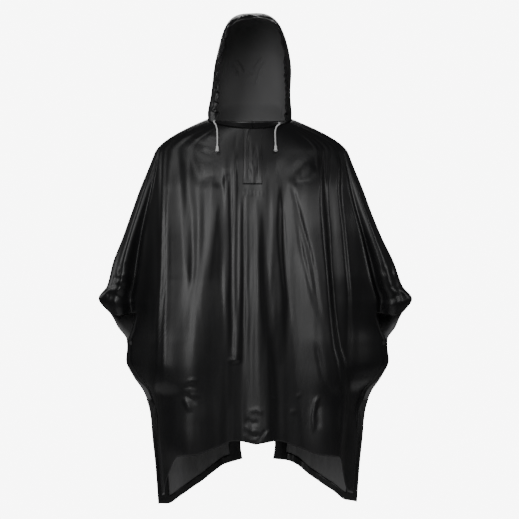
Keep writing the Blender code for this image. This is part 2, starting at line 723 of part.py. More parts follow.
def build_snaps(material):
    for tag, height, wide in (("upper", SNAP_UPPER, SNAP_UPPER_WIDE),
                              ("lower", SNAP_LOWER, SNAP_LOWER_WIDE)):
        for hand, side in (("left", -1), ("right", 1)):
            x = lean(height) + side * wide
            front = FRONT_EDGE("depth", height) - WALL - GAP
            back = RIDGE("depth", height) + SEAM + WALL + GAP
            for kind, radius, depth, facing in (("cap", SNAP_CAP_RADIUS, front, -1),
                                                ("stud", SNAP_STUD_RADIUS, back, 1)):
                round_edge = 0.3 * SNAP_TALL
                profile = [(0, SNAP_TALL), (radius - round_edge, SNAP_TALL),
                           (radius, SNAP_TALL - round_edge), (radius, 0), (0, 0)]
                turned(f"snap_{kind}_{hand}_{tag}", profile, material, (x, depth, height),
                       (0, facing, 0))


def build_eyelets(material):
    """Each eyelet sits on the hood's outer face, just above the neck seam."""
    def spot(angle, row, side):
        if angle <= THROAT_ANGLE:
            return throat_point(angle, row, side)
        return hood_side_point((angle - THROAT_ANGLE) / (NAPE_ANGLE - THROAT_ANGLE), row, side)

    for hand, (side, angle, row) in EYELETS.items():
        here = spot(angle, row, side)
        back = spot(angle + 1, row, side) - here
        up = spot(angle, row / 2, side) - here
        direction = side * up.cross(back).normalized()
        place = here + direction * (WALL + GAP)
        profile = [(EYELET_HOLE, EYELET_TALL * 0.2), (EYELET_HOLE + 0.0006, EYELET_TALL),
                   (EYELET_RADIUS - 0.0008, EYELET_TALL), (EYELET_RADIUS, 0),
                   (EYELET_HOLE, 0), (EYELET_HOLE, EYELET_TALL * 0.2)]
        turned(f"eyelet_{hand}", profile, material, place, direction)


def smooth_route(points, spacing):
    """Points about this far apart on a smooth curve through the route's own points."""
    points = [Vector(p) for p in points]
    ends = [2 * points[0] - points[1], *points, 2 * points[-1] - points[-2]]
    route = []
    for a, b, c, d in zip(ends, ends[1:], ends[2:], ends[3:]):
        count = max(round((c - b).length / spacing), 1)
        for i in range(count):
            t = i / count
            route.append(0.5 * (2 * b + (c - a) * t + (2 * a - 5 * b + 4 * c - d) * t**2
                                + (3 * b - a - 3 * c + d) * t**3))
    return [*route, points[-1]]


def build_cords(material, end_material):
    for hand, points in CORD_ROUTES.items():
        route = smooth_route(points, 2.5 * CORD_DIAMETER)
        curve = bpy.data.curves.new(f"cord_{hand}", "CURVE")
        curve.dimensions = "3D"
        curve.bevel_depth = CORD_DIAMETER / 2
        curve.bevel_resolution = 2
        curve.use_fill_caps = True
        spline = curve.splines.new("POLY")
        spline.points.add(len(route) - 1)
        for spot, place in zip(spline.points, route):
            spot.co = (*place, 1)
        add_object(f"cord_{hand}", curve, material)
        upward = (route[-2] - route[-1]).normalized()
        turned(f"cord_end_{hand}", CORD_END_PROFILE, end_material, route[-1] - upward * GAP, upward)


def clear_scene():
    for item in list(bpy.data.objects):
        bpy.data.objects.remove(item)


def build_all():
    clear_scene()
    collection = bpy.data.collections.new(COLLECTION)
    bpy.context.scene.collection.children.link(collection)
    outside = surface("black_coated_cloth", (0.012, 0.012, 0.013), 0.30)
    build_front(outside)
    build_back(outside)
    build_placket(outside)
    build_hood(outside)
    build_snaps(surface("black_snap", (0.015, 0.015, 0.016), 0.35))
    build_eyelets(surface("eyelet_metal", (0.45, 0.45, 0.46), 0.30, 1.0))
    build_cords(surface("white_cord", (0.80, 0.80, 0.80), 0.80),
                surface("white_plastic", (0.82, 0.82, 0.82), 0.35))


build_all()
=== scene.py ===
"""The looks of a hooded rain poncho of coated cloth, filled out as it is when worn."""
import math

import bmesh
import bpy
import numpy as np
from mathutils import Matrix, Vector, noise


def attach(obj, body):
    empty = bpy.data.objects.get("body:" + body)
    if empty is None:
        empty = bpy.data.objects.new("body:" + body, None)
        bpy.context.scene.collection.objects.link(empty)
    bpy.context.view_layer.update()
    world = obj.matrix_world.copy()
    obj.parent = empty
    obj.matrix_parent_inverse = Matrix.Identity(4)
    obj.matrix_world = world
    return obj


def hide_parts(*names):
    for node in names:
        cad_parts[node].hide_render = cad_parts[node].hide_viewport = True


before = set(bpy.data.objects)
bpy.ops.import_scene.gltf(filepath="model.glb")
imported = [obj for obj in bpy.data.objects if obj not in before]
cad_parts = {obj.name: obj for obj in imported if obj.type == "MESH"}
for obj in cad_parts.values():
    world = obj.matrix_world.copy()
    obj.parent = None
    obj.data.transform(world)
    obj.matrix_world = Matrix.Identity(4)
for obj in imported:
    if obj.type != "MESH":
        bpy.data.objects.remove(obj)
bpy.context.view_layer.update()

# The studio: a pale round floor under the poncho, a level camera 4 m in front of it, and seven soft
# boxes: a tall one left of the camera, a wide one above it, a small one high on the right, and one
# each from the top, the left, the right and the back.
FLOOR_HEIGHT = -1.46
FLOOR_RADIUS = 1.35
FLOOR_SIDES = 128
FLOOR_GREY = 0.9
FLOOR_ROUGHNESS = 0.9
VIEW_MIDDLE = Vector((0.0195, 0.0, -0.4035))
VIEW_DISTANCE = 4.0
VIEW_TALL = 1.557              # what the picture takes in at the middle of the poncho
SENSOR = 36.0

camera_data = bpy.data.cameras.new("camera")
camera_data.sensor_width = SENSOR
camera_data.lens = SENSOR * VIEW_DISTANCE / VIEW_TALL
camera = bpy.data.objects.new("camera", camera_data)
camera.location = VIEW_MIDDLE - Vector((0, VIEW_DISTANCE, 0))
camera.rotation_euler = (math.pi / 2, 0, 0)
bpy.context.scene.collection.objects.link(camera)
bpy.context.scene.camera = camera


def soft_box(name, place, wide, tall, power, aim=VIEW_MIDDLE):
    light = bpy.data.lights.new(name, "AREA")
    light.shape = "RECTANGLE"
    light.size, light.size_y, light.energy = wide, tall, power
    lamp = bpy.data.objects.new(name, light)
    lamp.location = place
    lamp.rotation_euler = (aim - lamp.location).to_track_quat("-Z", "Y").to_euler()
    bpy.context.scene.collection.objects.link(lamp)


soft_box("key_box", (-1.6, -3.1, 0.42), 1.1, 2.4, 38)
soft_box("front_box", (0.1, -3.7, 0.95), 2.6, 1.7, 23)
soft_box("top_box", (-1.1, -1.7, 2.4), 1.6, 1.2, 12)
soft_box("left_box", (-2.6, 0.6, 0.4), 0.5, 1.3, 7)
soft_box("right_box", (2.6, -0.6, 0.3), 0.6, 1.5, 9)
soft_box("fill_box", (1.7, -3.0, 1.7), 0.8, 0.8, 9)
soft_box("back_box", (-0.2, 3.2, 1.6), 1.8, 1.8, 26)

floor_mesh = bpy.data.meshes.new("studio_floor")
floor_shape = bmesh.new()
bmesh.ops.create_circle(floor_shape, cap_ends=True, segments=FLOOR_SIDES, radius=FLOOR_RADIUS)
bmesh.ops.translate(floor_shape, verts=floor_shape.verts, vec=(0, 0, FLOOR_HEIGHT))
floor_shape.to_mesh(floor_mesh)
floor_shape.free()
floor = bpy.data.objects.new("studio_floor", floor_mesh)
bpy.context.scene.collection.objects.link(floor)
floor_finish = bpy.data.materials.new("studio_floor")
floor_finish.use_nodes = True
floor_shader = floor_finish.node_tree.nodes["Principled BSDF"]
floor_shader.inputs["Base Color"].default_value = (FLOOR_GREY, FLOOR_GREY, FLOOR_GREY, 1)
floor_shader.inputs["Roughness"].default_value = FLOOR_ROUGHNESS
floor_mesh.materials.append(floor_finish)

# The room is pale where the camera looks and dim where the cloth would mirror it.
ROOM_SEEN = 8.0
ROOM_LIGHT = 0.055
room = bpy.data.worlds.new("studio")
room.use_nodes = True
room_nodes = room.node_tree
background = room_nodes.nodes["Background"]
background.inputs["Color"].default_value = (1, 1, 1, 1)
seen = room_nodes.nodes.new("ShaderNodeLightPath")
strength = room_nodes.nodes.new("ShaderNodeMapRange")
strength.inputs["To Min"].default_value = ROOM_LIGHT
strength.inputs["To Max"].default_value = ROOM_SEEN
room_nodes.links.new(seen.outputs["Is Camera Ray"], strength.inputs["Value"])
room_nodes.links.new(strength.outputs["Result"], background.inputs["Strength"])
bpy.context.scene.world = room


# The drawcord's two free ends: white braided cord, 4.5 mm thick. Each comes out of its eyelet at the
# foot of the hood, bends over it and hangs down the chest.
CORD_THICK = 0.0045
CORD_ROUTES = {
    "left": ((-0.1150, -0.0500, 0.0068), (-0.1150, -0.0565, 0.0020), (-0.1085, -0.0700, -0.0080),
             (-0.1050, -0.0850, -0.0240), (-0.1038, -0.0990, -0.0460), (-0.1037, -0.1095, -0.0720)),
    "right": ((0.0783, -0.0719, -0.0016), (0.0783, -0.0785, -0.0050), (0.0700, -0.0868, -0.0130),
              (0.0656, -0.0922, -0.0270), (0.0655, -0.1020, -0.0480), (0.0663, -0.1150, -0.0720)),
}


class Value:
    """An output of a material's node. Sums and products of values add their Math nodes."""

    def __init__(self, output):
        self.output = output

    def maths(self, operation, first, second):
        node = self.output.id_data.nodes.new("ShaderNodeMath")
        node.operation = operation
        for socket, value in zip(node.inputs, (first, second)):
            put(socket, value)
        return Value(node.outputs[0])

    def __add__(self, other):
        return self.maths("ADD", self, other)

    def __mul__(self, other):
        return self.maths("MULTIPLY", self, other)

    __radd__ = __add__
    __rmul__ = __mul__


def put(socket, value):
    """Sets a socket, or links it where the value comes out of a node."""
    if isinstance(value, Value):
        socket.id_data.links.new(value.output, socket)
    else:
        socket.default_value = value


class Finish:
    """A material made a node at a time. It starts as a Principled shader with these fixed values."""

    def __init__(self, name, **fixed):
        self.material = bpy.data.materials.new(name)
        self.material.use_nodes = True
        self.tree = self.material.node_tree
        self.shader = self.tree.nodes["Principled BSDF"]
        for socket, value in fixed.items():
            self.shader.inputs[socket.replace("_", " ").title().replace("Ior", "IOR")].default_value = value

    def node(self, kind, settings, sockets, output=0):
        node = self.tree.nodes.new("ShaderNode" + kind)
        for name, value in settings.items():
            if name == "stops":
                for stop, (place, level) in zip(node.color_ramp.elements, value):
                    stop.position, stop.color = place, (level, level, level, 1)
            else:
                setattr(node, name, value)
        for socket, value in sockets.items():
            put(node.inputs[socket], value)
        return Value(node.outputs[output])

    def place(self, stretch=(1, 1, 1)):
        """Where a point is on the piece, in metres, stretched for patterns that run one way."""
        where = self.node("TexCoord", {}, {}, "Object")
        return self.node("Mapping", {}, {"Vector": where, "Scale": stretch})

    def noise(self, scale, detail=2.0, rough=0.5, stretch=(1, 1, 1), twist=0.0):
        return self.node("TexNoise", {}, {"Vector": self.place(stretch), "Scale": scale, "Detail": detail,
                                          "Roughness": rough, "Distortion": twist})

    def feed(self, **links):
        for socket, value in links.items():
            put(self.shader.inputs[socket.replace("_", " ").title()], value)

    def bump(self, height, distance, strength):
        sockets = {"Height": height, "Distance": distance, "Strength": strength}
        put(self.shader.inputs["Normal"], self.node("Bump", {}, sockets, "Normal"))


def smooth_route(points, spacing):
    """Points about this far apart on a smooth curve through the route's own points."""
    points = [Vector(p) for p in points]
    ends = [2 * points[0] - points[1], *points, 2 * points[-1] - points[-2]]
    route = []
    for a, b, c, d in zip(ends, ends[1:], ends[2:], ends[3:]):
        count = max(round((c - b).length / spacing), 1)
        for i in range(count):
            t = i / count
            route.append(0.5 * (2 * b + (c - a) * t + (2 * a - 5 * b + 4 * c - d) * t**2
                                + (3 * b - a - 3 * c + d) * t**3))
    return [*route, points[-1]]


braid = Finish("white_cord", roughness=0.75, base_color=(0.8, 0.8, 0.8, 1))
# The braid's darker diagonal stripes are painted shade in the grooves between the white strands; the bump
# gives the same stripes their relief.
strands = braid.node("TexWave", {"wave_type": "BANDS", "bands_direction": "DIAGONAL"},
                     {"Vector": braid.place(), "Scale": 180.0, "Distortion": 1.0})
painted_groove_shade = braid.node("ValToRGB", {"stops": ((0.0, 0.62), (1.0, 0.86))}, {"Fac": strands})
braid.feed(base_color=painted_groove_shade)
braid.bump(strands, 0.0004, 0.6)

for hand, points in CORD_ROUTES.items():
    route = smooth_route(points, CORD_THICK)
    curve = bpy.data.curves.new(f"drawcord_{hand}", "CURVE")
    curve.dimensions = "3D"
    curve.bevel_depth = CORD_THICK / 2
    curve.bevel_resolution = 3
    curve.use_fill_caps = True
    spline = curve.splines.new("POLY")
    spline.points.add(len(route) - 1)
    for spot, point in zip(spline.points, route):
        spot.co = (*point, 1)
    spline.use_smooth = True
    cord = bpy.data.objects.new(f"drawcord_{hand}", curve)
    bpy.context.scene.collection.objects.link(cord)
    curve.materials.append(braid.material)
    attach(cord, "root")
    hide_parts(f"cord_{hand}")
    length = sum((b - a).length for a, b in zip(route, route[1:]))


# The cloth: thin sheet with a black semi-gloss coating outside and a matt charcoal backing inside. It
# has a slightly uneven gloss and the small ripples of a coating that was folded flat in its bag.
outside = Finish("black_coating", base_color=(0.0065, 0.0065, 0.0072, 1), roughness=0.4, ior=1.5)
ripple = outside.noise(9.0, 3.0, 0.55, (1, 1, 0.35), 0.4)
grain = outside.noise(70.0, 2.0, 0.6, (1, 1, 0.6))
outside.feed(roughness=outside.noise(14.0, 3.0, 0.6, (1, 1, 0.4)) * 0.16 + 0.27)
outside.bump(ripple + grain * 0.10, 0.006, 0.22)

inside = Finish("charcoal_backing", base_color=(0.13, 0.13, 0.132, 1), roughness=0.62, ior=1.45)
inside.bump(inside.noise(11.0, 3.0, 0.6, (1, 1, 0.5)) + inside.noise(400.0, 1.0) * 0.05, 0.004, 0.3)
COATED_BOTH = (outside, outside)
TWO_SIDED = (outside, inside)


# The back panel: half of the poncho's body and of the cloth over the arms, cut in one piece, with an
# open vent up from the hem. It hangs from the shoulders and arms in long folds.
CLOTH_THICK = 0.0010
NECK_WIDE = 0.125
NECK_FRONT = 0.090
NECK_BACK = 0.085
NECK_FRONT_HEIGHT = -0.0200
NECK_ROUND = 1.3
NECK_SIDE_HEIGHT = 0.018
NECK_BACK_HEIGHT = 0.020
NECK_ASIDE = -0.010
NECK_ASIDE_TOP = 0.25
SHOULDER = -0.087
SHOULDER_STEP = 0.004
CUFF = -0.560
CUFF_BEND = -0.400
HEM_START = -0.816
FRONT_HEM = -0.930
BACK_HEM = -1.000
HEM_BAND = 0.024
VENT_TURN = -0.816
VENT_BAND = 0.055
SIDE_BAND = 0.040
LEAN_TOP = -0.0045
LEAN_LOW = 0.0135
LEAN_START = -0.22
LEAN_LENGTH = 0.50
BACK_SQUARE = 2.4
VENT_CURVE = 1.5
TURNED_IN = 0.0007             # how far a turned-in layer lies inside the cloth
CALM_EDGE = 0.03               # folds and ripples fade out this far from an edge
STEEPEST = 1.2                 # the steepest slope that a fold stands square to
FOLD_ROUND = 10
CREASE_FADE = 4                # a crease fades over the first and the last quarter of its route
CREASE_TIP = 0.1
WELD_REACH = 0.00001
CELL = 0.0052                  # spacing of the fine sheets' rows and columns
PANEL_REACH = 0.37             # half the width of a panel, for the number of its columns
RIPPLES = (                    # rise, and how close together across and down
    (0.0042, 17, 1.5, 0.0),
    (0.0026, 41, 3.0, 7.3),
    (0.0009, 95, 8.0, 3.1),
)
RIPPLE_MIDDLE = 0.07
RIPPLE_SIDE_LOSS = 0.65
RIPPLE_LOW = -0.60
RIPPLE_LOW_LENGTH = 0.20
RIPPLE_LOW_LOSS = 0.5
RIPPLE_TOP_LENGTH = 0.08


def hermite(t, start, leave, end, arrive):
    """The curve between two points that leaves and arrives with these slopes."""
    return ((2 * t**3 - 3 * t**2 + 1) * start + (t**3 - 2 * t**2 + t) * leave
            + (3 * t**2 - 2 * t**3) * end + (t**3 - t**2) * arrive)


class Table:
    """Rows of named sizes. table(name, places) reads a column between its rows without overshoot."""

    def __init__(self, names, *rows):
        rows = np.array(sorted(rows))
        self.places = rows[:, 0]
        self.columns = dict(zip(names.split(), rows.T))

    def __call__(self, name, place):
        x, y = self.places, self.columns[name]
        place = np.clip(place, x[0], x[-1])
        chord = np.diff(y) / np.diff(x)
        before, after = chord[:-1], chord[1:]
        turn = before * after > 0
        inner = np.where(turn, 2 * before * after / np.where(turn, before + after, 1), 0.0)
        slope = np.concatenate((chord[:1], inner, chord[-1:]))
        k = np.clip(np.searchsorted(x, place, side="right") - 1, 0, len(x) - 2)
        step = x[k + 1] - x[k]
        return hermite((place - x[k]) / step, y[k], step * slope[k], y[k + 1], step * slope[k + 1])


# The arm line down to the cuff corner, and from there the back's own side edge.
RIDGE = Table(
    "height  wide    depth   flange  turn",
    (-0.087, 0.2900, -0.005, 0.000, 0.50),
    (-0.123, 0.3035, -0.010, 0.000, 0.50),
    (-0.195, 0.3325, -0.015, 0.000, 0.50),
    (-0.267, 0.3580, -0.022, 0.000, 0.50),
    (-0.339, 0.3850, -0.030, 0.000, 0.50),
    (-0.411, 0.4160, -0.038, 0.000, 0.50),
    (-0.483, 0.4380, -0.045, 0.000, 0.50),
    (-0.519, 0.4640, -0.048, 0.000, 0.52),
    (-0.567, 0.4330, -0.020, 0.004, 0.60),
    (-0.606, 0.4150, -0.014, 0.014, 0.75),
    (-0.642, 0.3890, -0.028, 0.024, 0.85),
    (-0.662, 0.3880, -0.028, 0.024, 0.85),
    (-0.705, 0.3930, -0.014, 0.026, 0.90),
    (-0.753, 0.3720, -0.008, 0.032, 0.90),
    (-0.796, 0.3430, -0.007, 0.053, 0.85),
    (-0.816, 0.3340, -0.007, 0.053, 0.85),
    (-0.860, 0.3240, 0.012, 0.010, 0.80),
    (-0.951, 0.3170, 0.040, 0.000, 0.75),
    (-1.030, 0.3100, 0.055, 0.000, 0.70),
    (-1.143, 0.3020, 0.060, 0.000, 0.70),
)
BODY = Table(
    "height  front   back",
    (-0.087, -0.109, 0.108),
    (-0.123, -0.120, 0.118),
    (-0.160, -0.1285, 0.124),
    (-0.195, -0.134, 0.128),
    (-0.250, -0.1395, 0.130),
    (-0.300, -0.143, 0.130),
    (-0.450, -0.148, 0.127),
    (-0.650, -0.153, 0.128),
    (-0.800, -0.157, 0.133),
    (-0.945, -0.163, 0.139),
    (-1.150, -0.166, 0.145),
)
BACK_HEM_LINE = Table(
    "share  left    right",
    (0.00, -1.022, -1.022),
    (0.22, -1.038, -1.030),
    (0.50, -1.087, -1.077),
    (0.75, -1.129, -1.118),
    (0.90, -1.152, -1.141),
    (1.00, -1.147, -1.141),
)
VENT = Table(
    "height  middle  half",
    (-1.030, 0.0140, 0.0460),
    (-0.976, 0.0140, 0.0530),
    (-0.930, 0.0140, 0.0470),
    (-0.865, 0.0135, 0.0260),
    (-0.816, 0.0130, 0.0000),
    (-0.520, 0.0080, 0.0000),
    (-0.300, 0.0030, 0.0000),
    (-0.100, 0.0000, 0.0000),
)
BACK_NECK = Table(
    "share  angle",
    (-1.00, -90), (-0.86, -72), (-0.65, -54), (-0.43, -38), (-0.21, -21), (0.00, 0),
    (0.21, 20), (0.46, 40), (0.68, 56), (0.87, 73), (1.00, 90),
)


def mix(a, b, t):
    return a + (b - a) * t


def soft(t):
    t = np.clip(t, 0.0, 1.0)
    return t * t * (3 - 2 * t)


def lean(height):
    return mix(LEAN_TOP, LEAN_LOW, soft((LEAN_START - height) / LEAN_LENGTH))


def spots(x, y, z):
    return np.stack(np.broadcast_arrays(x, y, z), axis=-1).astype(float)


def neck(angle, inset=0.0):
    """Points of the neck opening, or of a smaller one in it, by the angle from the middle of the front."""
    a = np.radians(angle)
    front = np.abs(angle) <= 90
    low = np.where(front, NECK_FRONT_HEIGHT, NECK_BACK_HEIGHT)
    depth = np.where(front, NECK_FRONT, NECK_BACK)
    height = mix(NECK_SIDE_HEIGHT, low, np.abs(np.cos(a)) ** np.where(front, NECK_ROUND, 2.0))
    return spots((NECK_WIDE - inset) * np.sin(a), (inset - depth) * np.cos(a), height)


def aside(points):
    """Moves points of the hood or of the neck opening to the side that they lie over."""
    amount = (points[:, 0] / NECK_WIDE) ** 2 * soft(1 - points[:, 2] / NECK_ASIDE_TOP)
    return points + spots(NECK_ASIDE * amount, 0, 0)


def over_shoulder(start, end, below, t):
    """From the neck opening to the first level row, and on into the row just below it without a kink."""
    side = (np.abs(start[:, 0]) / (NECK_WIDE - NECK_ASIDE))[:, None]
    t = t[:, None]
    leave = mix(1.0, math.pi / 2, side) * (end - start)
    arrive = (below - end) * (start[:, 2:] - end[:, 2:]) / SHOULDER_STEP
    curve = hermite(t, start, leave, end, arrive)
    curve[:, 2] = mix(start[:, 2], end[:, 2], t[:, 0])
    return curve


def back_depth(x, height):
    """Depth of the back's smooth section, before its folds."""
    wide = RIDGE("wide", height) - RIDGE("flange", height)
    share = np.minimum(np.abs(x - lean(height)) / wide, 1.0)
    full = (1 - share**BACK_SQUARE) ** RIDGE("turn", height)
    return mix(RIDGE("depth", height), BODY("back", height), full)


def folded(depth, facing, x, height, rise):
    """Points of a section, moved away from the body by rise and square to the section's curve."""
    step = 0.004
    slope = (depth(x + step, height) - depth(x - step, height)) / (2 * step)
    slope = np.clip(slope, -STEEPEST, STEEPEST)
    along = np.sqrt(slope**2 + 1)
    return spots(x - slope * facing * rise / along, depth(x, height) + facing * rise / along, height)


class Fold:
    """A long fold of cloth: by height, its crest's place across, how far the crest stands out, and how
    far it takes on the left and on the right to fall away. A negative rise is a trough."""

    def __init__(self, sharp, *rows):
        self.sharp = sharp
        self.table = Table("height place rise left right", *rows)

    def rise(self, x, height):
        off = x - self.table("place", height)
        wide = np.where(off < 0, self.table("left", height), self.table("right", height))
        near = 1 - np.clip(np.abs(off) / wide, 0, 1)
        eased = (1 - self.sharp) * np.sin(2 * math.pi * near) / FOLD_ROUND
        return self.table("rise", height) * (near - eased)


class Crease:
    """A short crease along a route of places across and heights, this wide to each side of it."""

    def __init__(self, wide, rise, *route):
        self.wide, self.high, self.route = wide, rise, np.array(route)

    def rise(self, x, height):
        place = np.stack((x, height), axis=-1)
        runs = np.linalg.norm(np.diff(self.route, axis=0), axis=1)
        nearest, along, done = np.full(len(x), np.inf), np.zeros(len(x)), 0.0
        for start, end, run in zip(self.route, self.route[1:], runs):
            t = np.clip((place - start) @ (end - start) / run**2, 0, 1)
            off = np.linalg.norm(place - start - t[:, None] * (end - start), axis=1)
            along = np.where(off < nearest, (done + t * run) / sum(runs), along)
            nearest = np.minimum(off, nearest)
            done += run
        ends = soft(CREASE_FADE * np.minimum(along, 1 - along) + CREASE_TIP)
        return self.high * soft(1 - nearest / self.wide) * ends


BACK_FOLDS = (
    Fold(0.2, (-0.06, -0.235, 0.004, 0.03, 0.03), (-0.30, -0.270, 0.012, 0.04, 0.04),
         (-0.55, -0.300, 0.016, 0.05, 0.04), (-0.80, -0.270, 0.018, 0.05, 0.04),
         (-0.92, -0.235, 0.020, 0.04, 0.04), (-1.06, -0.235, 0.004, 0.04, 0.04)),
    Fold(0.3, (-0.05, -0.180, 0.004, 0.03, 0.03), (-0.30, -0.205, 0.013, 0.035, 0.03),
         (-0.60, -0.222, 0.014, 0.04, 0.03), (-0.92, -0.178, 0.018, 0.04, 0.04),
         (-1.06, -0.178, 0.004, 0.04, 0.035)),
    Fold(0.3, (-0.05, -0.120, 0.003, 0.03, 0.03), (-0.35, -0.130, 0.010, 0.03, 0.03),
         (-0.70, -0.134, 0.012, 0.03, 0.03), (-0.92, -0.120, 0.016, 0.04, 0.04),
         (-1.06, -0.120, 0.004, 0.035, 0.03)),
    Fold(0.4, (-0.08, -0.060, 0.002, 0.02, 0.02), (-0.40, -0.064, 0.010, 0.03, 0.025),
         (-0.92, -0.066, 0.014, 0.04, 0.04), (-1.06, -0.066, 0.004, 0.03, 0.025)),
    Fold(0.2, (-0.10, 0.004, 0.002, 0.03, 0.03), (-0.45, 0.010, 0.009, 0.03, 0.03),
         (-0.80, 0.013, 0.007, 0.03, 0.03), (-0.95, 0.014, 0.002, 0.03, 0.03)),
    Fold(0.4, (-0.08, 0.060, 0.002, 0.02, 0.02), (-0.42, 0.066, 0.010, 0.025, 0.03),
         (-0.92, 0.068, 0.014, 0.04, 0.04), (-1.06, 0.068, 0.004, 0.025, 0.03)),
    Fold(0.3, (-0.05, 0.130, 0.003, 0.03, 0.03), (-0.35, 0.140, 0.011, 0.03, 0.03),
         (-0.70, 0.144, 0.013, 0.03, 0.03), (-0.92, 0.126, 0.017, 0.04, 0.04),
         (-1.06, 0.126, 0.004, 0.035, 0.03)),
    Fold(0.3, (-0.05, 0.190, 0.004, 0.03, 0.03), (-0.30, 0.215, 0.012, 0.035, 0.03),
         (-0.60, 0.233, 0.014, 0.04, 0.03), (-0.92, 0.184, 0.018, 0.04, 0.04),
         (-1.06, 0.184, 0.004, 0.04, 0.035)),
    Fold(0.2, (-0.06, 0.240, 0.004, 0.03, 0.03), (-0.30, 0.280, 0.012, 0.04, 0.04),
         (-0.55, 0.310, 0.015, 0.05, 0.04), (-0.80, 0.282, 0.017, 0.05, 0.04),
         (-0.92, 0.240, 0.020, 0.04, 0.04), (-1.06, 0.240, 0.004, 0.04, 0.04)),
)


def pile(folds, x, height):
    return sum((fold.rise(x, height) for fold in folds), np.zeros(len(x)))


def ripples(x, height, seed):
    """The small uneven folds between the large ones, long up and down and strongest in the middle."""
    rise = [sum(high * noise.noise(Vector((a * across, b * down, seed + shift)))
                for high, across, down, shift in RIPPLES) for a, b in zip(x, height)]
    middle = 1 - RIPPLE_SIDE_LOSS * soft((np.abs(x) - RIPPLE_MIDDLE) / RIPPLE_MIDDLE)
    low = 1 - RIPPLE_LOW_LOSS * soft((RIPPLE_LOW - height) / RIPPLE_LOW_LENGTH)
    return np.array(rise) * middle * low * soft((SHOULDER - height) / RIPPLE_TOP_LENGTH)


def hem_shift(line, last_row, share, height, full_at):
    """How far rows are moved down so that the last ones follow the hem's curve."""
    follow = soft((HEM_START - height) / (HEM_START - full_at))
    drop = np.where(share < 0, line("left", np.abs(share)), line("right", np.abs(share)))
    return follow * (drop - last_row)


def row_over_arm(height, share):
    """Height of rows over the arm, where they bend to meet the cuff's edge; share 1 is the arm line."""
    bend = np.clip((CUFF_BEND - height) / (CUFF_BEND - CUFF), 0, 1)
    return np.where(height >= CUFF_BEND, height, mix(CUFF_BEND, CUFF_EDGE("height", share), bend))


CUFF_EDGE = Table(
    "share  height",
    (0.00, CUFF),
    (0.40, -0.568),
    (0.75, -0.562),
    (1.00, -0.519),
)


def back_level(across, height, side):
    """Points of the back panel below the shoulders."""
    height = height + hem_shift(BACK_HEM_LINE, BACK_HEM, across, height, BACK_HEM + HEM_BAND)
    edge = lean(height) + np.sign(across) * RIDGE("wide", height)
    x = mix(VENT("middle", height), edge, np.abs(across))
    calm = soft((RIDGE("wide", height) * (1 - np.abs(across))) / CALM_EDGE)
    points = folded(back_depth, 1, x, height, (pile(BACK_FOLDS, x, height) + ripples(x, height, 1)) * calm)
    points[:, 0] += side * VENT("half", height) * (1 - np.abs(across)) ** VENT_CURVE
    return points


def back_point(across, down, side):
    """Points of the back panel. across runs from the left edge, -1, by the middle, 0, to the right
    edge, 1; down is 0 to 1 over the shoulders and a height below them."""
    height = np.where(down >= 0, SHOULDER, down)
    points = back_level(across, height, side)
    below = back_level(across, height - SHOULDER_STEP, side)
    start = aside(neck(180 - BACK_NECK("angle", across)))
    over = over_shoulder(start, points, below, np.clip(down, 0, 1))
    return np.where((down >= 0)[:, None], over, points)


def lay(bm, columns, rows, point, keep=None):
    """Adds a grid, its columns left to right and its rows top to bottom as seen from outside. Returns
    the cells that keep, a function of column and row numbers, leaves out."""
    wide, tall = len(columns) - 1, len(rows) - 1
    verts = bmesh.ops.create_grid(bm, x_segments=wide, y_segments=tall, size=1)["verts"]
    across, down = np.meshgrid(columns, rows[::-1])
    for vert, place in zip(verts, point(across.ravel(), down.ravel())):
        vert.co = place
    bm.faces.ensure_lookup_table()
    cells = bm.faces[-wide * tall:]
    return [cell for i, cell in enumerate(cells) if keep and not keep(i % wide, tall - 1 - i // wide)]


def cloth(name, bm, finishes, left_out=(), moved_out=0.0, wall_out=True):
    """Cuts the cells left out, closes up the grids, moves them out, and gives them their thickness."""
    bmesh.ops.delete(bm, geom=list(left_out), context="FACES")
    bmesh.ops.remove_doubles(bm, verts=bm.verts, dist=WELD_REACH)
    bm.normal_update()
    places = [vert.co + vert.normal * moved_out for vert in bm.verts]
    for vert, place in zip(bm.verts, places):
        vert.co = place
    mesh = bpy.data.meshes.new(name)
    bm.to_mesh(mesh)
    bm.free()
    mesh.shade_smooth()
    piece = bpy.data.objects.new(name, mesh)
    bpy.context.scene.collection.objects.link(piece)
    for finish in finishes:
        mesh.materials.append(finish.material)
    wall = piece.modifiers.new("Thickness", "SOLIDIFY")
    wall.thickness = CLOTH_THICK
    wall.offset = 1 if wall_out else -1
    wall.material_offset = 1
    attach(piece, "root")
    return piece


def steps(start, end, spacing):
    return list(np.linspace(start, end, max(round(abs(end - start) / spacing), 1) + 1))


over_neck = [0.0, 0.04, *steps(0.09, 0.94, 0.05), 0.97]
over_arm = steps(SHOULDER, CUFF, CELL)
below_cuff = steps(CUFF, HEM_START, CELL)[1:]
hem_rows = steps(BACK_HEM + HEM_BAND, BACK_HEM, CELL)[1:]
back_hem_rows = [*steps(HEM_START, BACK_HEM + HEM_BAND, CELL)[1:], *hem_rows]
back_rows = [*over_neck, *row_over_arm(np.array(over_arm), 1.0), *below_cuff, *back_hem_rows]
half = steps(0.0, 1.0, CELL / PANEL_REACH)
back_sheet = bmesh.new()
lay(back_sheet, half[::-1], back_rows, lambda c, r: back_point(c, r, 1))
lay(back_sheet, [-c for c in half], back_rows, lambda c, r: back_point(c, r, -1))
back = cloth("back_sheet", back_sheet, TWO_SIDED)
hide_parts("back_panel")

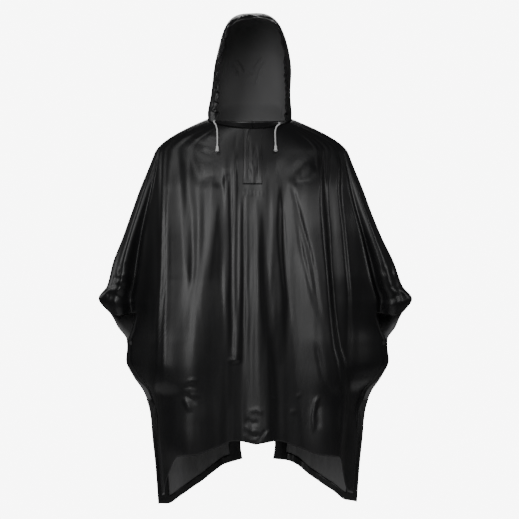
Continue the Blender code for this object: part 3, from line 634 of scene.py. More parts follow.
# The back's hem: the same cloth turned in and welded, 24 mm along the bottom, 40 to 50 mm up each side
# of the vent and about 35 mm up the side edge. Each half of the back has its own.
vent_rows = [row for row in back_rows if row < VENT_TURN]
vent_columns = round(VENT_BAND / CELL)
side_columns = round(SIDE_BAND / CELL)
for hand, side in (("left", -1), ("right", 1)):
    columns = half[::-1] if side > 0 else [-c for c in half]
    near_vent = len(half) - 1 - vent_columns if side > 0 else 0
    near_side = 0 if side > 0 else len(half) - 1 - side_columns
    lowest = len(vent_rows) - 1 - len(hem_rows)
    hem_sheet = bmesh.new()
    cut = lay(hem_sheet, columns, vent_rows, lambda c, r: back_point(c, r, side),
              lambda i, j: (j >= lowest or near_vent <= i < near_vent + vent_columns
                            or near_side <= i < near_side + side_columns))
    hem = cloth(f"back_turned_hem_{hand}", hem_sheet, COATED_BOTH, cut, -TURNED_IN, wall_out=False)
    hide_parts(f"back_hem_{hand}")


# The front panel: the other half of the body and the front of the cloth over the arms, with a slit at
# the neck. Its outer folds run from the shoulders to the cuffs, and below them are its side edges.
SLIT_END = -0.190
SLEEVE_REACH = 0.13            # from the outer fold round to the arm line
ARM_LINE_GAP = 0.00015
CUFF_CALM = 0.05
FRONT_EDGE = Table(
    "height  wide    depth   flange  square",
    (-0.087, 0.2700, -0.045, 0.000, 2.6),
    (-0.195, 0.2850, -0.085, 0.000, 2.6),
    (-0.339, 0.3160, -0.106, 0.000, 2.7),
    (-0.447, 0.3340, -0.106, 0.000, 3.3),
    (-0.519, 0.3480, -0.094, 0.000, 3.5),
    (-0.560, 0.3540, -0.080, 0.003, 3.8),
    (-0.606, 0.3680, -0.053, 0.008, 4.2),
    (-0.650, 0.3860, -0.0300, 0.012, 4.4),
    (-0.705, 0.3900, -0.022, 0.012, 4.4),
    (-0.753, 0.3660, -0.015, 0.012, 4.6),
    (-0.796, 0.3270, -0.0092, 0.012, 5.0),
    (-0.816, 0.3190, -0.0092, 0.012, 5.2),
    (-0.862, 0.3000, -0.013, 0.006, 5.8),
    (-0.945, 0.2970, -0.022, 0.000, 5.6),
    (-1.040, 0.2900, -0.032, 0.000, 4.5),
    (-1.100, 0.2830, -0.038, 0.000, 4.5),
)
FRONT_HEM_LINE = Table(
    "share  left    right",
    (0.00, -0.936, -0.936),
    (0.20, -0.926, -0.926),
    (0.40, -0.946, -0.944),
    (0.58, -0.966, -0.964),
    (0.74, -0.974, -0.974),
    (0.84, -1.026, -1.022),
    (0.89, -1.062, -1.058),
    (0.93, -1.090, -1.086),
    (1.00, -1.104, -1.098),
)
FRONT_MIDDLE = Table(
    "height  place",
    (-0.087, 0.0000), (-0.300, 0.0000), (-0.520, 0.0036), (-0.740, 0.0065), (-0.930, 0.0090),
)
FRONT_NECK = Table(
    "share  angle",
    (-1.00, -75), (-0.89, -60), (-0.74, -50), (-0.556, -39), (-0.34, -27), (-0.137, -17), (0.00, 0),
    (0.137, 17), (0.40, 37), (0.815, 57), (0.944, 66), (1.00, 75),
)
# The places of the folds and creases were read off the picture and turned into metres.
FRONT_FOLDS = (
    # The ridge below the left shoulder, with two narrow pleats on it, and the band inside it.
    Fold(0.2, (-0.035, -0.239, 0.0000, 0.058, 0.017), (-0.087, -0.242, 0.0040, 0.075, 0.026),
         (-0.220, -0.248, 0.0090, 0.078, 0.038), (-0.399, -0.253, 0.0130, 0.075, 0.052),
         (-0.515, -0.262, 0.0170, 0.075, 0.098), (-0.607, -0.265, 0.0200, 0.078, 0.118),
         (-0.723, -0.265, 0.0180, 0.078, 0.124), (-0.867, -0.259, 0.0110, 0.066, 0.118),
         (-1.011, -0.253, 0.0030, 0.043, 0.113)),
    Fold(0.5, (-0.041, -0.260, 0.0000, 0.013, 0.010), (-0.116, -0.262, 0.0030, 0.013, 0.012),
         (-0.278, -0.258, 0.0035, 0.016, 0.007), (-0.520, -0.261, 0.0030, 0.013, 0.009),
         (-0.682, -0.259, 0.0020, 0.014, 0.009), (-0.881, -0.261, 0.0000, 0.013, 0.013)),
    Fold(0.5, (-0.203, -0.245, 0.0000, 0.009, 0.010), (-0.278, -0.245, 0.0030, 0.009, 0.010),
         (-0.520, -0.244, 0.0030, 0.010, 0.011), (-0.665, -0.243, 0.0020, 0.010, 0.010),
         (-0.881, -0.243, 0.0000, 0.013, 0.013)),
    Fold(0.2, (-0.041, -0.196, 0.0000, 0.026, 0.012), (-0.087, -0.190, 0.0020, 0.029, 0.014),
         (-0.197, -0.184, 0.0036, 0.026, 0.020), (-0.278, -0.175, 0.0046, 0.032, 0.017),
         (-0.399, -0.173, 0.0048, 0.032, 0.017), (-0.460, -0.177, 0.0042, 0.032, 0.016),
         (-0.520, -0.186, 0.0032, 0.030, 0.019), (-0.650, -0.193, 0.0000, 0.032, 0.014)),
    # The ridge from the tip of the smooth chest, and the narrow ridges from there to the placket.
    Fold(0.2, (-0.162, -0.118, 0.0000, 0.035, 0.014), (-0.203, -0.118, 0.0050, 0.052, 0.035),
         (-0.278, -0.121, 0.0095, 0.058, 0.049), (-0.370, -0.129, 0.0115, 0.055, 0.058),
         (-0.440, -0.139, 0.0115, 0.051, 0.062), (-0.515, -0.147, 0.0120, 0.049, 0.078),
         (-0.587, -0.149, 0.0110, 0.049, 0.084), (-0.659, -0.152, 0.0090, 0.049, 0.081),
         (-0.760, -0.161, 0.0060, 0.043, 0.084), (-0.881, -0.170, 0.0020, 0.035, 0.087)),
    Fold(0.3, (-0.220, -0.106, 0.0000, 0.013, 0.012), (-0.275, -0.109, 0.0016, 0.013, 0.012),
         (-0.399, -0.121, 0.0016, 0.013, 0.012), (-0.492, -0.129, 0.0000, 0.012, 0.009)),
    Fold(0.4, (-0.128, -0.080, 0.0000, 0.012, 0.012), (-0.197, -0.074, 0.0040, 0.016, 0.010),
         (-0.359, -0.069, 0.0045, 0.020, 0.009), (-0.515, -0.073, 0.0040, 0.019, 0.012),
         (-0.665, -0.071, 0.0030, 0.020, 0.012), (-0.838, -0.071, 0.0000, 0.023, 0.014)),
    Fold(0.5, (-0.087, -0.051, 0.0000, 0.012, 0.006), (-0.160, -0.051, 0.0035, 0.013, 0.009),
         (-0.399, -0.053, 0.0035, 0.012, 0.009), (-0.520, -0.051, 0.0025, 0.012, 0.009),
         (-0.665, -0.051, 0.0000, 0.012, 0.009)),
    Fold(0.4, (-0.209, -0.035, 0.0000, 0.009, 0.007), (-0.275, -0.035, 0.0035, 0.010, 0.007),
         (-0.492, -0.035, 0.0040, 0.016, 0.007), (-0.587, -0.038, 0.0050, 0.017, 0.009),
         (-0.650, -0.040, 0.0060, 0.023, 0.010), (-0.682, -0.043, 0.0060, 0.025, 0.013),
         (-0.702, -0.043, 0.0000, 0.025, 0.013)),
    Fold(0.5, (-0.203, -0.018, 0.0000, 0.009, 0.007), (-0.246, -0.018, 0.0025, 0.009, 0.007),
         (-0.492, -0.017, 0.0025, 0.009, 0.009), (-0.809, -0.014, 0.0000, 0.012, 0.012)),
    # The low slope from the left side down to the middle.
    Fold(0.3, (-0.463, -0.248, 0.0000, 0.075, 0.199), (-0.607, -0.245, 0.0110, 0.087, 0.202),
         (-0.723, -0.242, 0.0170, 0.090, 0.205), (-0.867, -0.236, 0.0180, 0.072, 0.202),
         (-0.982, -0.236, 0.0140, 0.064, 0.202)),
    # The raised middle, which widens to the hem.
    Fold(0.1, (-0.220, 0.009, 0.0000, 0.035, 0.020), (-0.295, 0.012, 0.0060, 0.042, 0.023),
         (-0.492, 0.017, 0.0090, 0.048, 0.026), (-0.636, 0.027, 0.0100, 0.059, 0.035),
         (-0.780, 0.038, 0.0120, 0.071, 0.035), (-0.881, 0.041, 0.0120, 0.074, 0.035),
         (-0.982, 0.041, 0.0090, 0.074, 0.035)),
    Fold(0.5, (-0.220, 0.011, 0.0000, 0.009, 0.007), (-0.278, 0.012, 0.0020, 0.009, 0.007),
         (-0.492, 0.019, 0.0020, 0.009, 0.007), (-0.650, 0.027, 0.0000, 0.009, 0.007)),
    # The right side of the middle.
    Fold(0.2, (-0.185, 0.070, 0.0000, 0.026, 0.014), (-0.232, 0.069, 0.0040, 0.027, 0.016),
         (-0.278, 0.069, 0.0070, 0.031, 0.019), (-0.359, 0.071, 0.0080, 0.036, 0.019),
         (-0.440, 0.077, 0.0080, 0.041, 0.016), (-0.515, 0.082, 0.0070, 0.043, 0.020),
         (-0.610, 0.076, 0.0040, 0.035, 0.026), (-0.708, 0.076, 0.0000, 0.035, 0.026)),
    # The broad fold from the right chest to the hem, with the grooves across it.
    Fold(0.3, (-0.070, 0.188, 0.0000, 0.035, 0.017), (-0.110, 0.188, 0.0050, 0.052, 0.023),
         (-0.151, 0.188, 0.0120, 0.069, 0.026), (-0.220, 0.188, 0.0210, 0.098, 0.032),
         (-0.318, 0.194, 0.0260, 0.104, 0.032), (-0.382, 0.200, 0.0260, 0.104, 0.029),
         (-0.440, 0.206, 0.0260, 0.107, 0.026), (-0.515, 0.212, 0.0270, 0.107, 0.026),
         (-0.587, 0.217, 0.0280, 0.107, 0.029), (-0.650, 0.223, 0.0300, 0.107, 0.032),
         (-0.717, 0.235, 0.0310, 0.113, 0.035), (-0.798, 0.238, 0.0310, 0.107, 0.043),
         (-0.881, 0.232, 0.0310, 0.090, 0.043), (-0.954, 0.229, 0.0270, 0.081, 0.040)),
    Fold(0.6, (-0.185, 0.112, 0.0000, 0.007, 0.007), (-0.220, 0.121, -0.0030, 0.008, 0.008),
         (-0.318, 0.145, -0.0035, 0.009, 0.009), (-0.382, 0.162, -0.0035, 0.009, 0.009),
         (-0.440, 0.174, -0.0030, 0.009, 0.009), (-0.512, 0.183, -0.0025, 0.009, 0.009),
         (-0.607, 0.206, 0.0000, 0.009, 0.009)),
    Fold(0.6, (-0.232, 0.118, 0.0000, 0.007, 0.007), (-0.295, 0.129, -0.0018, 0.008, 0.008),
         (-0.359, 0.138, -0.0020, 0.008, 0.008), (-0.440, 0.155, -0.0020, 0.008, 0.008),
         (-0.515, 0.173, -0.0016, 0.008, 0.008), (-0.593, 0.196, 0.0000, 0.007, 0.007)),
    Fold(0.6, (-0.220, 0.087, 0.0000, 0.007, 0.006), (-0.289, 0.089, -0.0015, 0.007, 0.007),
         (-0.480, 0.099, -0.0015, 0.007, 0.007), (-0.607, 0.113, 0.0000, 0.006, 0.007)),
    Fold(0.5, (-0.636, 0.177, 0.0000, 0.009, 0.009), (-0.673, 0.185, -0.0025, 0.009, 0.010),
         (-0.743, 0.199, -0.0030, 0.009, 0.010), (-0.775, 0.209, -0.0020, 0.009, 0.009),
         (-0.809, 0.214, 0.0000, 0.006, 0.009)),
    # The right shoulder's folds and the ridge below them.
    Fold(0.5, (-0.047, 0.186, 0.0000, 0.006, 0.007), (-0.087, 0.186, 0.0025, 0.006, 0.008),
         (-0.174, 0.190, 0.0020, 0.007, 0.008), (-0.246, 0.190, 0.0000, 0.008, 0.007)),
    Fold(0.5, (-0.053, 0.204, 0.0000, 0.009, 0.007), (-0.102, 0.202, 0.0025, 0.009, 0.008),
         (-0.174, 0.197, 0.0020, 0.007, 0.009), (-0.246, 0.196, 0.0000, 0.007, 0.009)),
    Fold(0.5, (-0.041, 0.223, 0.0000, 0.010, 0.009), (-0.087, 0.222, 0.0025, 0.010, 0.007),
         (-0.160, 0.217, 0.0020, 0.009, 0.009), (-0.261, 0.214, 0.0000, 0.007, 0.009)),
    Fold(0.2, (-0.041, 0.242, 0.0000, 0.019, 0.007), (-0.087, 0.243, 0.0060, 0.022, 0.012),
         (-0.128, 0.249, 0.0090, 0.026, 0.012), (-0.197, 0.245, 0.0090, 0.026, 0.016),
         (-0.318, 0.256, 0.0090, 0.030, 0.016), (-0.440, 0.266, 0.0090, 0.035, 0.017),
         (-0.515, 0.272, 0.0080, 0.035, 0.017), (-0.636, 0.272, 0.0060, 0.040, 0.020),
         (-0.809, 0.269, 0.0020, 0.035, 0.023), (-0.954, 0.269, 0.0000, 0.035, 0.023)),
)
FRONT_CREASES = (
    # The left chest: two troughs that start at the shoulder.
    Crease(0.026, -0.0017, (-0.204, -0.047), (-0.164, -0.079), (-0.135, -0.099), (-0.106, -0.110)),
    Crease(0.026, 0.0014, (-0.210, -0.030), (-0.158, -0.061), (-0.123, -0.079)),
    Crease(0.026, -0.0018, (-0.199, -0.064), (-0.181, -0.110), (-0.161, -0.157), (-0.135, -0.197)),
    Crease(0.014, 0.0012, (-0.135, -0.038), (-0.112, -0.047), (-0.089, -0.050)),
    Crease(0.020, -0.0014, (-0.112, -0.194), (-0.092, -0.168), (-0.066, -0.139)),
    # The right chest: the fold line where the smooth part ends.
    Crease(0.032, -0.0026, (0.102, -0.180), (0.122, -0.157), (0.154, -0.134), (0.177, -0.110),
            (0.183, -0.079)),
    Crease(0.032, 0.0018, (0.128, -0.177), (0.157, -0.151), (0.183, -0.131)),
    Crease(0.009, -0.0012, (0.116, -0.185), (0.142, -0.180), (0.171, -0.177)),
    # The puckers under the placket.
    *(Crease(0.005, rise, (top, -0.200), (foot, -0.223))
      for top, foot, rise in ((-0.024, -0.026, 0.0016), (-0.014, -0.015, 0.0012), (-0.004, -0.004, 0.0016),
                              (0.007, 0.007, 0.0012), (0.017, 0.018, 0.0016), (0.027, 0.029, 0.0012))),
    # The ledge where the ridge left of the middle ends.
    Crease(0.007, 0.0030, (-0.069, -0.691), (-0.054, -0.697), (-0.037, -0.691)),
    # The crumpled foot of the middle.
    Crease(0.009, -0.0015, (-0.019, -0.861), (-0.002, -0.876), (0.018, -0.870)),
    Crease(0.009, 0.0015, (-0.022, -0.878), (-0.005, -0.899), (0.015, -0.896)),
    Crease(0.007, -0.0015, (-0.014, -0.896), (0.004, -0.913), (0.027, -0.907)),
    Crease(0.007, 0.0015, (-0.025, -0.904), (-0.011, -0.922), (0.007, -0.928)),
    Crease(0.007, 0.0018, (0.027, -0.925), (0.038, -0.907), (0.053, -0.893)),
    Crease(0.006, -0.0013, (0.012, -0.928), (0.027, -0.913), (0.038, -0.890)),
    Crease(0.009, 0.0013, (-0.011, -0.841), (0.012, -0.835), (0.030, -0.847)),
    # The dents of the lower left and lower right.
    Crease(0.007, 0.0015, (-0.187, -0.757), (-0.173, -0.749), (-0.158, -0.754)),
    Crease(0.009, -0.0018, (-0.199, -0.775), (-0.181, -0.766), (-0.161, -0.775)),
    Crease(0.012, 0.0024, (-0.199, -0.803), (-0.187, -0.821), (-0.181, -0.841)),
    Crease(0.009, -0.0018, (-0.190, -0.795), (-0.173, -0.806), (-0.164, -0.821)),
    Crease(0.007, 0.0012, (-0.184, -0.798), (-0.167, -0.792), (-0.149, -0.798)),
    Crease(0.006, 0.0036, (0.191, -0.792), (0.181, -0.815), (0.174, -0.853), (0.175, -0.902)),
    Crease(0.012, -0.0018, (0.188, -0.815), (0.188, -0.853), (0.191, -0.890)),
    Crease(0.007, 0.0010, (0.053, -0.798), (0.064, -0.806)),
    Crease(0.007, 0.0012, (0.125, -0.795), (0.136, -0.798)),
    Crease(0.009, 0.0012, (0.110, -0.838), (0.122, -0.847)),
)
SLEEVE_CREASES = (
    # The left sleeve's, then the right one's, which are the left one's turned over and moved a little.
    Crease(0.007, -0.0030, (-0.369, -0.411), (-0.365, -0.428), (-0.367, -0.445)),
    Crease(0.007, -0.0025, (-0.391, -0.416), (-0.386, -0.434), (-0.392, -0.451)),
    Crease(0.007, 0.0025, (-0.404, -0.428), (-0.395, -0.445), (-0.380, -0.454), (-0.372, -0.440)),
    Crease(0.006, -0.0030, (-0.409, -0.451), (-0.401, -0.460), (-0.386, -0.463)),
    Crease(0.006, 0.0025, (-0.401, -0.471), (-0.386, -0.466), (-0.375, -0.471)),
    Crease(0.007, 0.0035, (-0.438, -0.509), (-0.424, -0.496), (-0.409, -0.489), (-0.386, -0.493)),
    Crease(0.016, -0.0065, (-0.430, -0.514), (-0.409, -0.507), (-0.386, -0.510)),
    Crease(0.024, 0.0050, (-0.414, -0.545), (-0.395, -0.540), (-0.375, -0.536), (-0.352, -0.543)),
    Crease(0.006, -0.0020, (-0.406, -0.546), (-0.392, -0.538), (-0.378, -0.544)),
    Crease(0.006, 0.0020, (-0.430, -0.520), (-0.421, -0.532), (-0.412, -0.546)),
    Crease(0.006, -0.0020, (-0.386, -0.520), (-0.395, -0.532), (-0.404, -0.541)),
    Crease(0.007, -0.0020, (-0.406, -0.483), (-0.392, -0.480), (-0.378, -0.486)),
    Crease(0.007, -0.0027, (0.388, -0.412), (0.385, -0.434), (0.390, -0.449)),
    Crease(0.007, -0.0022, (0.409, -0.418), (0.407, -0.440), (0.414, -0.455)),
    Crease(0.007, 0.0022, (0.422, -0.429), (0.415, -0.451), (0.403, -0.457), (0.391, -0.441)),
    Crease(0.006, -0.0027, (0.428, -0.452), (0.421, -0.466), (0.408, -0.466)),
    Crease(0.006, 0.0022, (0.419, -0.473), (0.407, -0.471), (0.397, -0.475)),
    Crease(0.007, 0.0032, (0.457, -0.510), (0.444, -0.502), (0.432, -0.492), (0.405, -0.494)),
    Crease(0.016, -0.0060, (0.448, -0.514), (0.430, -0.511), (0.408, -0.513)),
    Crease(0.024, 0.0046, (0.434, -0.547), (0.416, -0.542), (0.396, -0.538), (0.372, -0.545)),
    Crease(0.006, -0.0018, (0.425, -0.548), (0.412, -0.544), (0.400, -0.547)),
    Crease(0.006, 0.0018, (0.448, -0.522), (0.441, -0.538), (0.434, -0.550)),
    Crease(0.006, -0.0018, (0.405, -0.522), (0.415, -0.538), (0.426, -0.544)),
    Crease(0.007, -0.0018, (0.425, -0.484), (0.412, -0.486), (0.400, -0.489)),
)
SLEEVE_FOLDS = (
    Fold(0.2, (-0.06, 0.14, 0.000, 0.14, 0.16), (-0.20, 0.14, -0.010, 0.14, 0.16),
         (-0.40, 0.14, -0.020, 0.14, 0.16), (-0.60, 0.14, -0.024, 0.14, 0.16)),
    Fold(0.3, (-0.08, 0.36, 0.000, 0.14, 0.30), (-0.25, 0.36, 0.006, 0.14, 0.30),
         (-0.42, 0.33, 0.012, 0.14, 0.28), (-0.60, 0.30, 0.010, 0.13, 0.28)),
)
NECK_SEAM = 75                 # where the outer folds start at the neck
CUFF_FLARE = 0.004
CUFF_FLARE_TALL = 0.045


def front_depth(x, height):
    """Depth of the front's smooth section, before its folds."""
    wide = FRONT_EDGE("wide", height) - FRONT_EDGE("flange", height)
    share = np.minimum(np.abs(x - lean(height)) / wide, 1.0)
    return mix(BODY("front", height), FRONT_EDGE("depth", height), share ** FRONT_EDGE("square", height))


def front_body(across, height):
    height = height + hem_shift(FRONT_HEM_LINE, FRONT_HEM, across, height, FRONT_HEM)
    edge = lean(height) + np.sign(across) * FRONT_EDGE("wide", height)
    x = mix(FRONT_MIDDLE("place", height), edge, np.abs(across))
    below = soft((CUFF - height) / CUFF_CALM)
    calm = mix(1.0, soft((FRONT_EDGE("wide", height) * (1 - np.abs(across))) / CALM_EDGE), below)
    rise = (pile(FRONT_FOLDS, x, height) + ripples(x, height, 0)) * calm
    return folded(front_depth, -1, x, height, rise)


def front_sleeve(side, share, height):
    """Points of the front over the arm, from the outer fold (share 0) round to the arm line (1)."""
    height = row_over_arm(height, share)
    inner = front_body(np.sign(side), height)
    outer = lean(height) + side * RIDGE("wide", height)
    turn = share * math.pi / 2
    x = mix(inner[:, 0], outer, np.sin(turn))
    y = mix(inner[:, 1], RIDGE("depth", height) - ARM_LINE_GAP, 1 - np.cos(turn))
    flare = soft((CUFF + CUFF_FLARE_TALL - height) / CUFF_FLARE_TALL) * np.sin(share * math.pi)
    rise = pile(SLEEVE_FOLDS, share, height) + CUFF_FLARE * flare
    return spots(x + side * rise * np.sin(turn), y - rise * np.cos(turn), height)


def front_level(across, height):
    """Points of the front panel below the shoulders. Past -1 and 1 it goes over the arms."""
    over = np.clip(np.abs(across) - 1, 0, 1)
    return np.where((over > 0)[:, None], front_sleeve(np.sign(across), over, height),
                    front_body(np.clip(across, -1, 1), height))


def pressed(points, creases, out=np.array((0, -0.97, 0.24))):
    """Moves points out by short creases."""
    return points + pile(creases, points[:, 0], points[:, 2])[:, None] * out


def front_point(across, down):
    height = np.where(down >= 0, SHOULDER, down)
    points = front_level(across, height)
    below = front_level(across, height - SHOULDER_STEP)
    over = np.clip(np.abs(across) - 1, 0, 1)
    angle = np.where(over > 0, np.sign(across) * mix(NECK_SEAM, 90, over),
                     FRONT_NECK("angle", np.clip(across, -1, 1)))
    curve = over_shoulder(aside(neck(angle)), points, below, np.clip(down, 0, 1))
    return pressed(np.where((down >= 0)[:, None], curve, points), FRONT_CREASES + SLEEVE_CREASES)


front_rows = [*over_neck, *over_arm, *below_cuff, *steps(HEM_START, FRONT_HEM, CELL)[1:]]
cuff_row = len(over_neck) + len(over_arm) - 1
body_columns = steps(0.0, 1.0, CELL / PANEL_REACH)
sleeve_columns = steps(1.0, 2.0, CELL / SLEEVE_REACH)[1:]
right_columns = [*body_columns, *sleeve_columns]
front_sheet = bmesh.new()
below_cuffs = []
for side in (-1, 1):
    columns = [side * c for c in right_columns][::side]
    body_cells = range(len(body_columns) - 1) if side > 0 else range(len(sleeve_columns), len(columns) - 1)
    below_cuffs += lay(front_sheet, columns, front_rows, front_point,
                       lambda i, j: j < cuff_row or i in body_cells)
front = cloth("front_sheet", front_sheet, TWO_SIDED, below_cuffs)
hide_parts("front_panel")


# The placket: a strip 57 mm wide over the slit, from the hood's edge to the end of the slit, with a
# second strip behind it. Both are doubled cloth.
PLACKET_SHARE = 0.10           # half the strip's width, as a share of the front's
PLACKET_CELL = 0.0025
PLACKET_REACH = 0.27
PLACKET_GAP = 0.0006
PLACKET_CREASES = (
    Crease(0.006, 0.0015, (-0.005, -0.012), (-0.014, -0.030), (-0.018, -0.058), (-0.019, -0.102),
            (-0.021, -0.177)),
    Crease(0.005, -0.0011, (-0.009, -0.038), (-0.011, -0.087), (-0.012, -0.151), (-0.011, -0.185)),
    Crease(0.006, 0.0014, (0.001, -0.076), (-0.001, -0.116), (0.002, -0.151), (0.001, -0.191)),
    Crease(0.005, -0.0011, (0.009, -0.058), (0.011, -0.110), (0.009, -0.162), (0.011, -0.197)),
    Crease(0.006, 0.0010, (0.018, -0.087), (0.017, -0.131), (0.018, -0.174)),
    Crease(0.005, -0.0008, (-0.005, -0.108), (0.004, -0.125), (0.009, -0.148)),
    Crease(0.005, 0.0009, (-0.017, -0.134), (-0.008, -0.148), (-0.002, -0.168)),
)
placket_columns = steps(-PLACKET_SHARE, PLACKET_SHARE, PLACKET_CELL / PLACKET_REACH)
placket_rows = [*over_neck, *(row for row in over_arm if row >= SLIT_END)]
for name, node, out, wall_out in (("placket", "placket_overlap", CLOTH_THICK + PLACKET_GAP, True),
                                  ("placket_facing", "placket_underlap", -TURNED_IN, False)):
    strip = bmesh.new()
    lay(strip, placket_columns, placket_rows,
        lambda c, r: pressed(front_point(c, r), PLACKET_CREASES if wall_out else ()))
    placket = cloth(name, strip, COATED_BOTH, moved_out=out, wall_out=wall_out)
    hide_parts(node)


# The hood: two side panels with a centre strip between them, welded together and to the neck opening.
# The side panels' lower corners meet in front at the throat.
HOOD_INSET = 0.0002
HOOD_LIFT = 0.0004
HOOD = Table(
    "along wide    square seam  depth   height",
    (0.00, 0.0985, 3.8, 0.930, -0.1100, 0.2960),
    (0.12, 0.1090, 3.1, 0.930, -0.0580, 0.3230),
    (0.27, 0.1185, 3.0, 0.900, 0.0080, 0.3330),
    (0.43, 0.1200, 3.0, 0.870, 0.0750, 0.3080),
    (0.60, 0.1180, 3.3, 0.860, 0.1130, 0.2350),
    (0.76, 0.1140, 3.8, 0.840, 0.1210, 0.1500),
    (0.88, 0.1060, 4.0, 0.780, 0.1120, 0.0820),
)
THROAT_ANGLE = 56
NAPE_ANGLE = 134
THROAT_TOP = 0.001
THROAT_DEPTH = -0.098
THROAT_ROW = 0.022
ARCH_FULL = 0.25
NAPE_START = 0.88
NAPE_STEP = 0.02
RIB_SPACING = 0.008
ROW_SPACING = 0.009
THROAT_SPACING = 0.006
THROAT_ANGLE_STEP = 2.2
STRIP_SPACING = 0.025
GATHER_REACH = 0.24            # the gathers fade out this share of the way from the face to the nape
GATHER_LEAST = 0.55
GATHER_CHEEK = 0.65
GATHER_BROW = 0.45
CRUMPLE_MIDDLE = (0.0, 0.02, 0.14)
CRUMPLE_FLAT = 0.35
HOOD_CREASES = (
    Crease(0.006, 0.0030, (-0.055, 0.215), (-0.040, 0.195), (-0.028, 0.172)),
    Crease(0.005, 0.0025, (-0.068, 0.196), (-0.052, 0.178), (-0.044, 0.160)),
    Crease(0.006, 0.0030, (0.026, 0.222), (0.012, 0.198), (-0.002, 0.178)),
    Crease(0.005, 0.0025, (0.040, 0.210), (0.024, 0.186), (0.012, 0.162)),
    Crease(0.005, -0.0020, (0.008, 0.180), (-0.006, 0.170), (-0.016, 0.172)),
    Crease(0.005, 0.0020, (0.022, 0.170), (0.012, 0.150), (0.006, 0.136)),
)


def hood_foot(angle):
    return neck(angle, HOOD_INSET) + spots(0, 0, HOOD_LIFT)


def arch_point(along, x, share):
    """Points at this share of the way up a rib of the hood, this far to the side."""
    base = hood_foot(mix(THROAT_ANGLE, NAPE_ANGLE, along))
    return spots(x, mix(base[:, 1], HOOD("depth", along), share),
                 mix(base[:, 2], HOOD("height", along), share))


def arch_half_width(along, share):
    base = hood_foot(mix(THROAT_ANGLE, NAPE_ANGLE, along))
    square = HOOD("square", along)
    full = mix(base[:, 0], HOOD("wide", along), soft(share / ARCH_FULL))
    return full * (1 - np.minimum(share, 1.0) ** square) ** (1 / square)


def to_nape(along, rib_point, foot):
    """From the last full rib down to the neck opening, leaving it without a kink."""
    t = (np.maximum(along - NAPE_START, 0.0) / (1 - NAPE_START))[:, None]
    rib = np.minimum(along, NAPE_START)
    start = rib_point(rib)
    leave = (start - rib_point(rib - NAPE_STEP)) * (1 - NAPE_START) / NAPE_STEP
    leave = np.where(t > 0, leave, 0.0)
    return hermite(t, start, leave, foot, foot - start)


def crumpled(points, along, row):
    """The drawcord's gathers round the face, and the softer folds behind them."""
    cheek = GATHER_CHEEK * (1 - soft((row - 0.15) / 0.45))
    brow = GATHER_BROW * soft((row - 0.75) / 0.2)
    face = (1 - soft(along / GATHER_REACH)) * (GATHER_LEAST + cheek + brow)
    foot = soft(row / 0.08) * soft((1 - along) / 0.15)
    rise = []
    for (x, y, z), gather in zip(points, face):
        wide = abs(noise.noise(Vector((x * 12, y * 22 + z * 20, z * 30))) * 1.8)
        fine = abs(noise.noise(Vector((x * 30, y * 50, z * 62 + 4))) * 1.6)
        loose = noise.noise(Vector((x * 14, y * 14, z * 11 + 9)))
        rise.append(0.0100 * gather * (0.45 - wide) + 0.0040 * gather * (0.4 - fine) + 0.0045 * loose)
    out = points - np.array(CRUMPLE_MIDDLE)
    out[:, 1] *= CRUMPLE_FLAT
    out /= np.linalg.norm(out, axis=1)[:, None]
    return points + out * (np.array(rise) * foot)[:, None]


def hood_strip_point(across, along):
    """Points of the centre strip; across runs from -1 to 1 between its two seams."""
    def rib_point(rib):
        x = across * arch_half_width(rib, HOOD("seam", rib))
        square = HOOD("square", rib)
        share = (1 - (np.abs(x) / HOOD("wide", rib)) ** square) ** (1 / square)
        return arch_point(rib, x, share)

    foot = hood_foot(180 - np.abs(across) * (180 - NAPE_ANGLE))
    foot[:, 0] = np.copysign(foot[:, 0], across)
    points = crumpled(to_nape(along, rib_point, foot), along, np.ones(len(along)))
    return aside(pressed(points, HOOD_CREASES, np.array((0, 1.0, 0))))


def hood_side(along, row):
    """Points of a side panel before it is turned to its own side of the middle."""
    def rib_point(rib):
        share = np.where(row <= THROAT_ROW, row * HOOD("seam", 0.0), row * HOOD("seam", rib))
        return arch_point(rib, arch_half_width(rib, share), share)

    return to_nape(along, rib_point, hood_foot(np.full_like(along, NAPE_ANGLE)))


def hood_side_point(along, row, side):
    points = hood_side(along, row)
    points[:, 0] *= side
    return aside(crumpled(points, along, row))


def throat_point(angle, row, side):
    """Points of the part of a side panel below the face, from the middle of the throat outwards."""
    low = hood_foot(angle)
    corner = hood_side(np.zeros(1), np.full(1, THROAT_ROW))[0]
    x = low[:, 0] * corner[0] / hood_foot(np.full(1, THROAT_ANGLE))[0, 0]
    share = x / corner[0]
    top = spots(x, mix(THROAT_DEPTH, corner[1], share**2), mix(THROAT_TOP, corner[2], share**2))
    points = mix(low, top, (row / THROAT_ROW)[:, None])
    points[:, 0] *= side
    return aside(points)


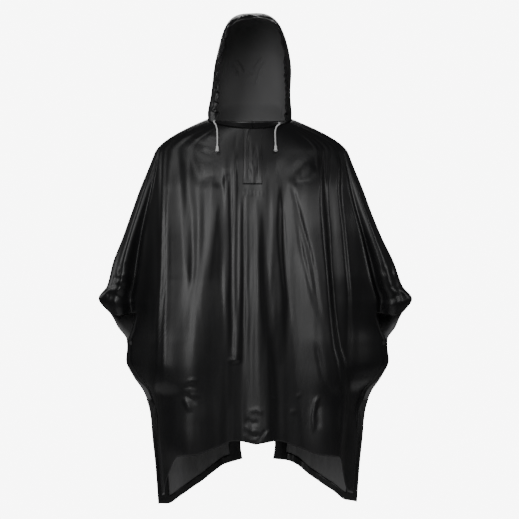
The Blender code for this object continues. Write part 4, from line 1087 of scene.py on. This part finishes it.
throat_rows = steps(0.0, THROAT_ROW, THROAT_SPACING)
side_rows = [*throat_rows, *steps(THROAT_ROW, 1.0, ROW_SPACING)[1:]]
ribs = steps(0.0, 1.0, RIB_SPACING)
for hand, side in (("left", -1), ("right", 1)):
    # Columns below zero are angles at the throat, from the middle outwards, as -(1 + angle / 100).
    columns = [*[-(1 + a / 100) for a in steps(0, THROAT_ANGLE, THROAT_ANGLE_STEP)[:-1]], *ribs]

    def side_point(column, row):
        throat = column < 0
        angle = np.where(throat, (-column - 1) * 100, 0.0)
        return np.where(throat[:, None], throat_point(angle, np.minimum(row, THROAT_ROW), side),
                        hood_side_point(np.maximum(column, 0.0), row, side))

    columns = columns if side > 0 else columns[::-1]
    throat_columns = len(columns) - len(ribs)
    throat_cells = range(throat_columns) if side > 0 else range(len(ribs) - 1, len(columns) - 1)
    lowest = len(side_rows) - len(throat_rows)
    side_sheet = bmesh.new()
    face = lay(side_sheet, columns, side_rows[::-1], side_point,
               lambda i, j: j >= lowest or i not in throat_cells)
    panel = cloth(f"hood_panel_{hand}", side_sheet, TWO_SIDED, face)
    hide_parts(f"hood_side_{hand}")

strip_sheet = bmesh.new()
lay(strip_sheet, steps(-1.0, 1.0, STRIP_SPACING), ribs[::-1], hood_strip_point)
strip = cloth("hood_middle_strip", strip_sheet, TWO_SIDED)
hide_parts("hood_center")

# The channel for the drawcord: the hood's edge, turned in round the face and welded down. It is of the
# hood's own cloth and lies inside it.
CHANNEL_RIB = 0.05
channel_ribs = steps(0.0, CHANNEL_RIB, RIB_SPACING)


def channel_point(column, rib):
    left, right = column < -1, column > 1
    row = np.clip(2 - np.abs(column), 0, 1) * (1 - THROAT_ROW) + THROAT_ROW
    points = hood_strip_point(np.clip(column, -1, 1), rib)
    points = np.where(left[:, None], hood_side_point(rib, row, -1), points)
    return np.where(right[:, None], hood_side_point(rib, row, 1), points)


channel_columns = [*steps(-2.0, -1.0, ROW_SPACING)[:-1], *steps(-1.0, 1.0, STRIP_SPACING),
                   *steps(1.0, 2.0, ROW_SPACING)[1:]]
channel_sheet = bmesh.new()
lay(channel_sheet, channel_columns, channel_ribs[::-1], channel_point)
channel = cloth("hood_face_channel", channel_sheet, COATED_BOTH, moved_out=-TURNED_IN, wall_out=False)
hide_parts("hood_channel")


# The snaps, eyelets and cord ends keep the shapes of the CAD model. The snaps are pressed metal
# with black paint, the eyelets plated steel, and the cord ends moulded white plastic.
painted = Finish("black_snap", base_color=(0.015, 0.015, 0.016, 1), roughness=0.35)
painted.feed(roughness=painted.noise(300.0) * 0.2 + 0.28)
plated = Finish("eyelet_metal", base_color=(0.35, 0.35, 0.36, 1), roughness=0.3, metallic=1.0)
plated.feed(roughness=plated.noise(500.0) * 0.2 + 0.25)
moulded = Finish("white_plastic", base_color=(0.8, 0.8, 0.8, 1), roughness=0.35)
moulded.feed(roughness=moulded.noise(250.0) * 0.15 + 0.3)
for name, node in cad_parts.items():
    finish = (painted if name.startswith("snap") else plated if name.startswith("eyelet")
              else moulded if name.startswith("cord_end") else None)
    if finish:
        node.data.materials.clear()
        node.data.materials.append(finish.material)
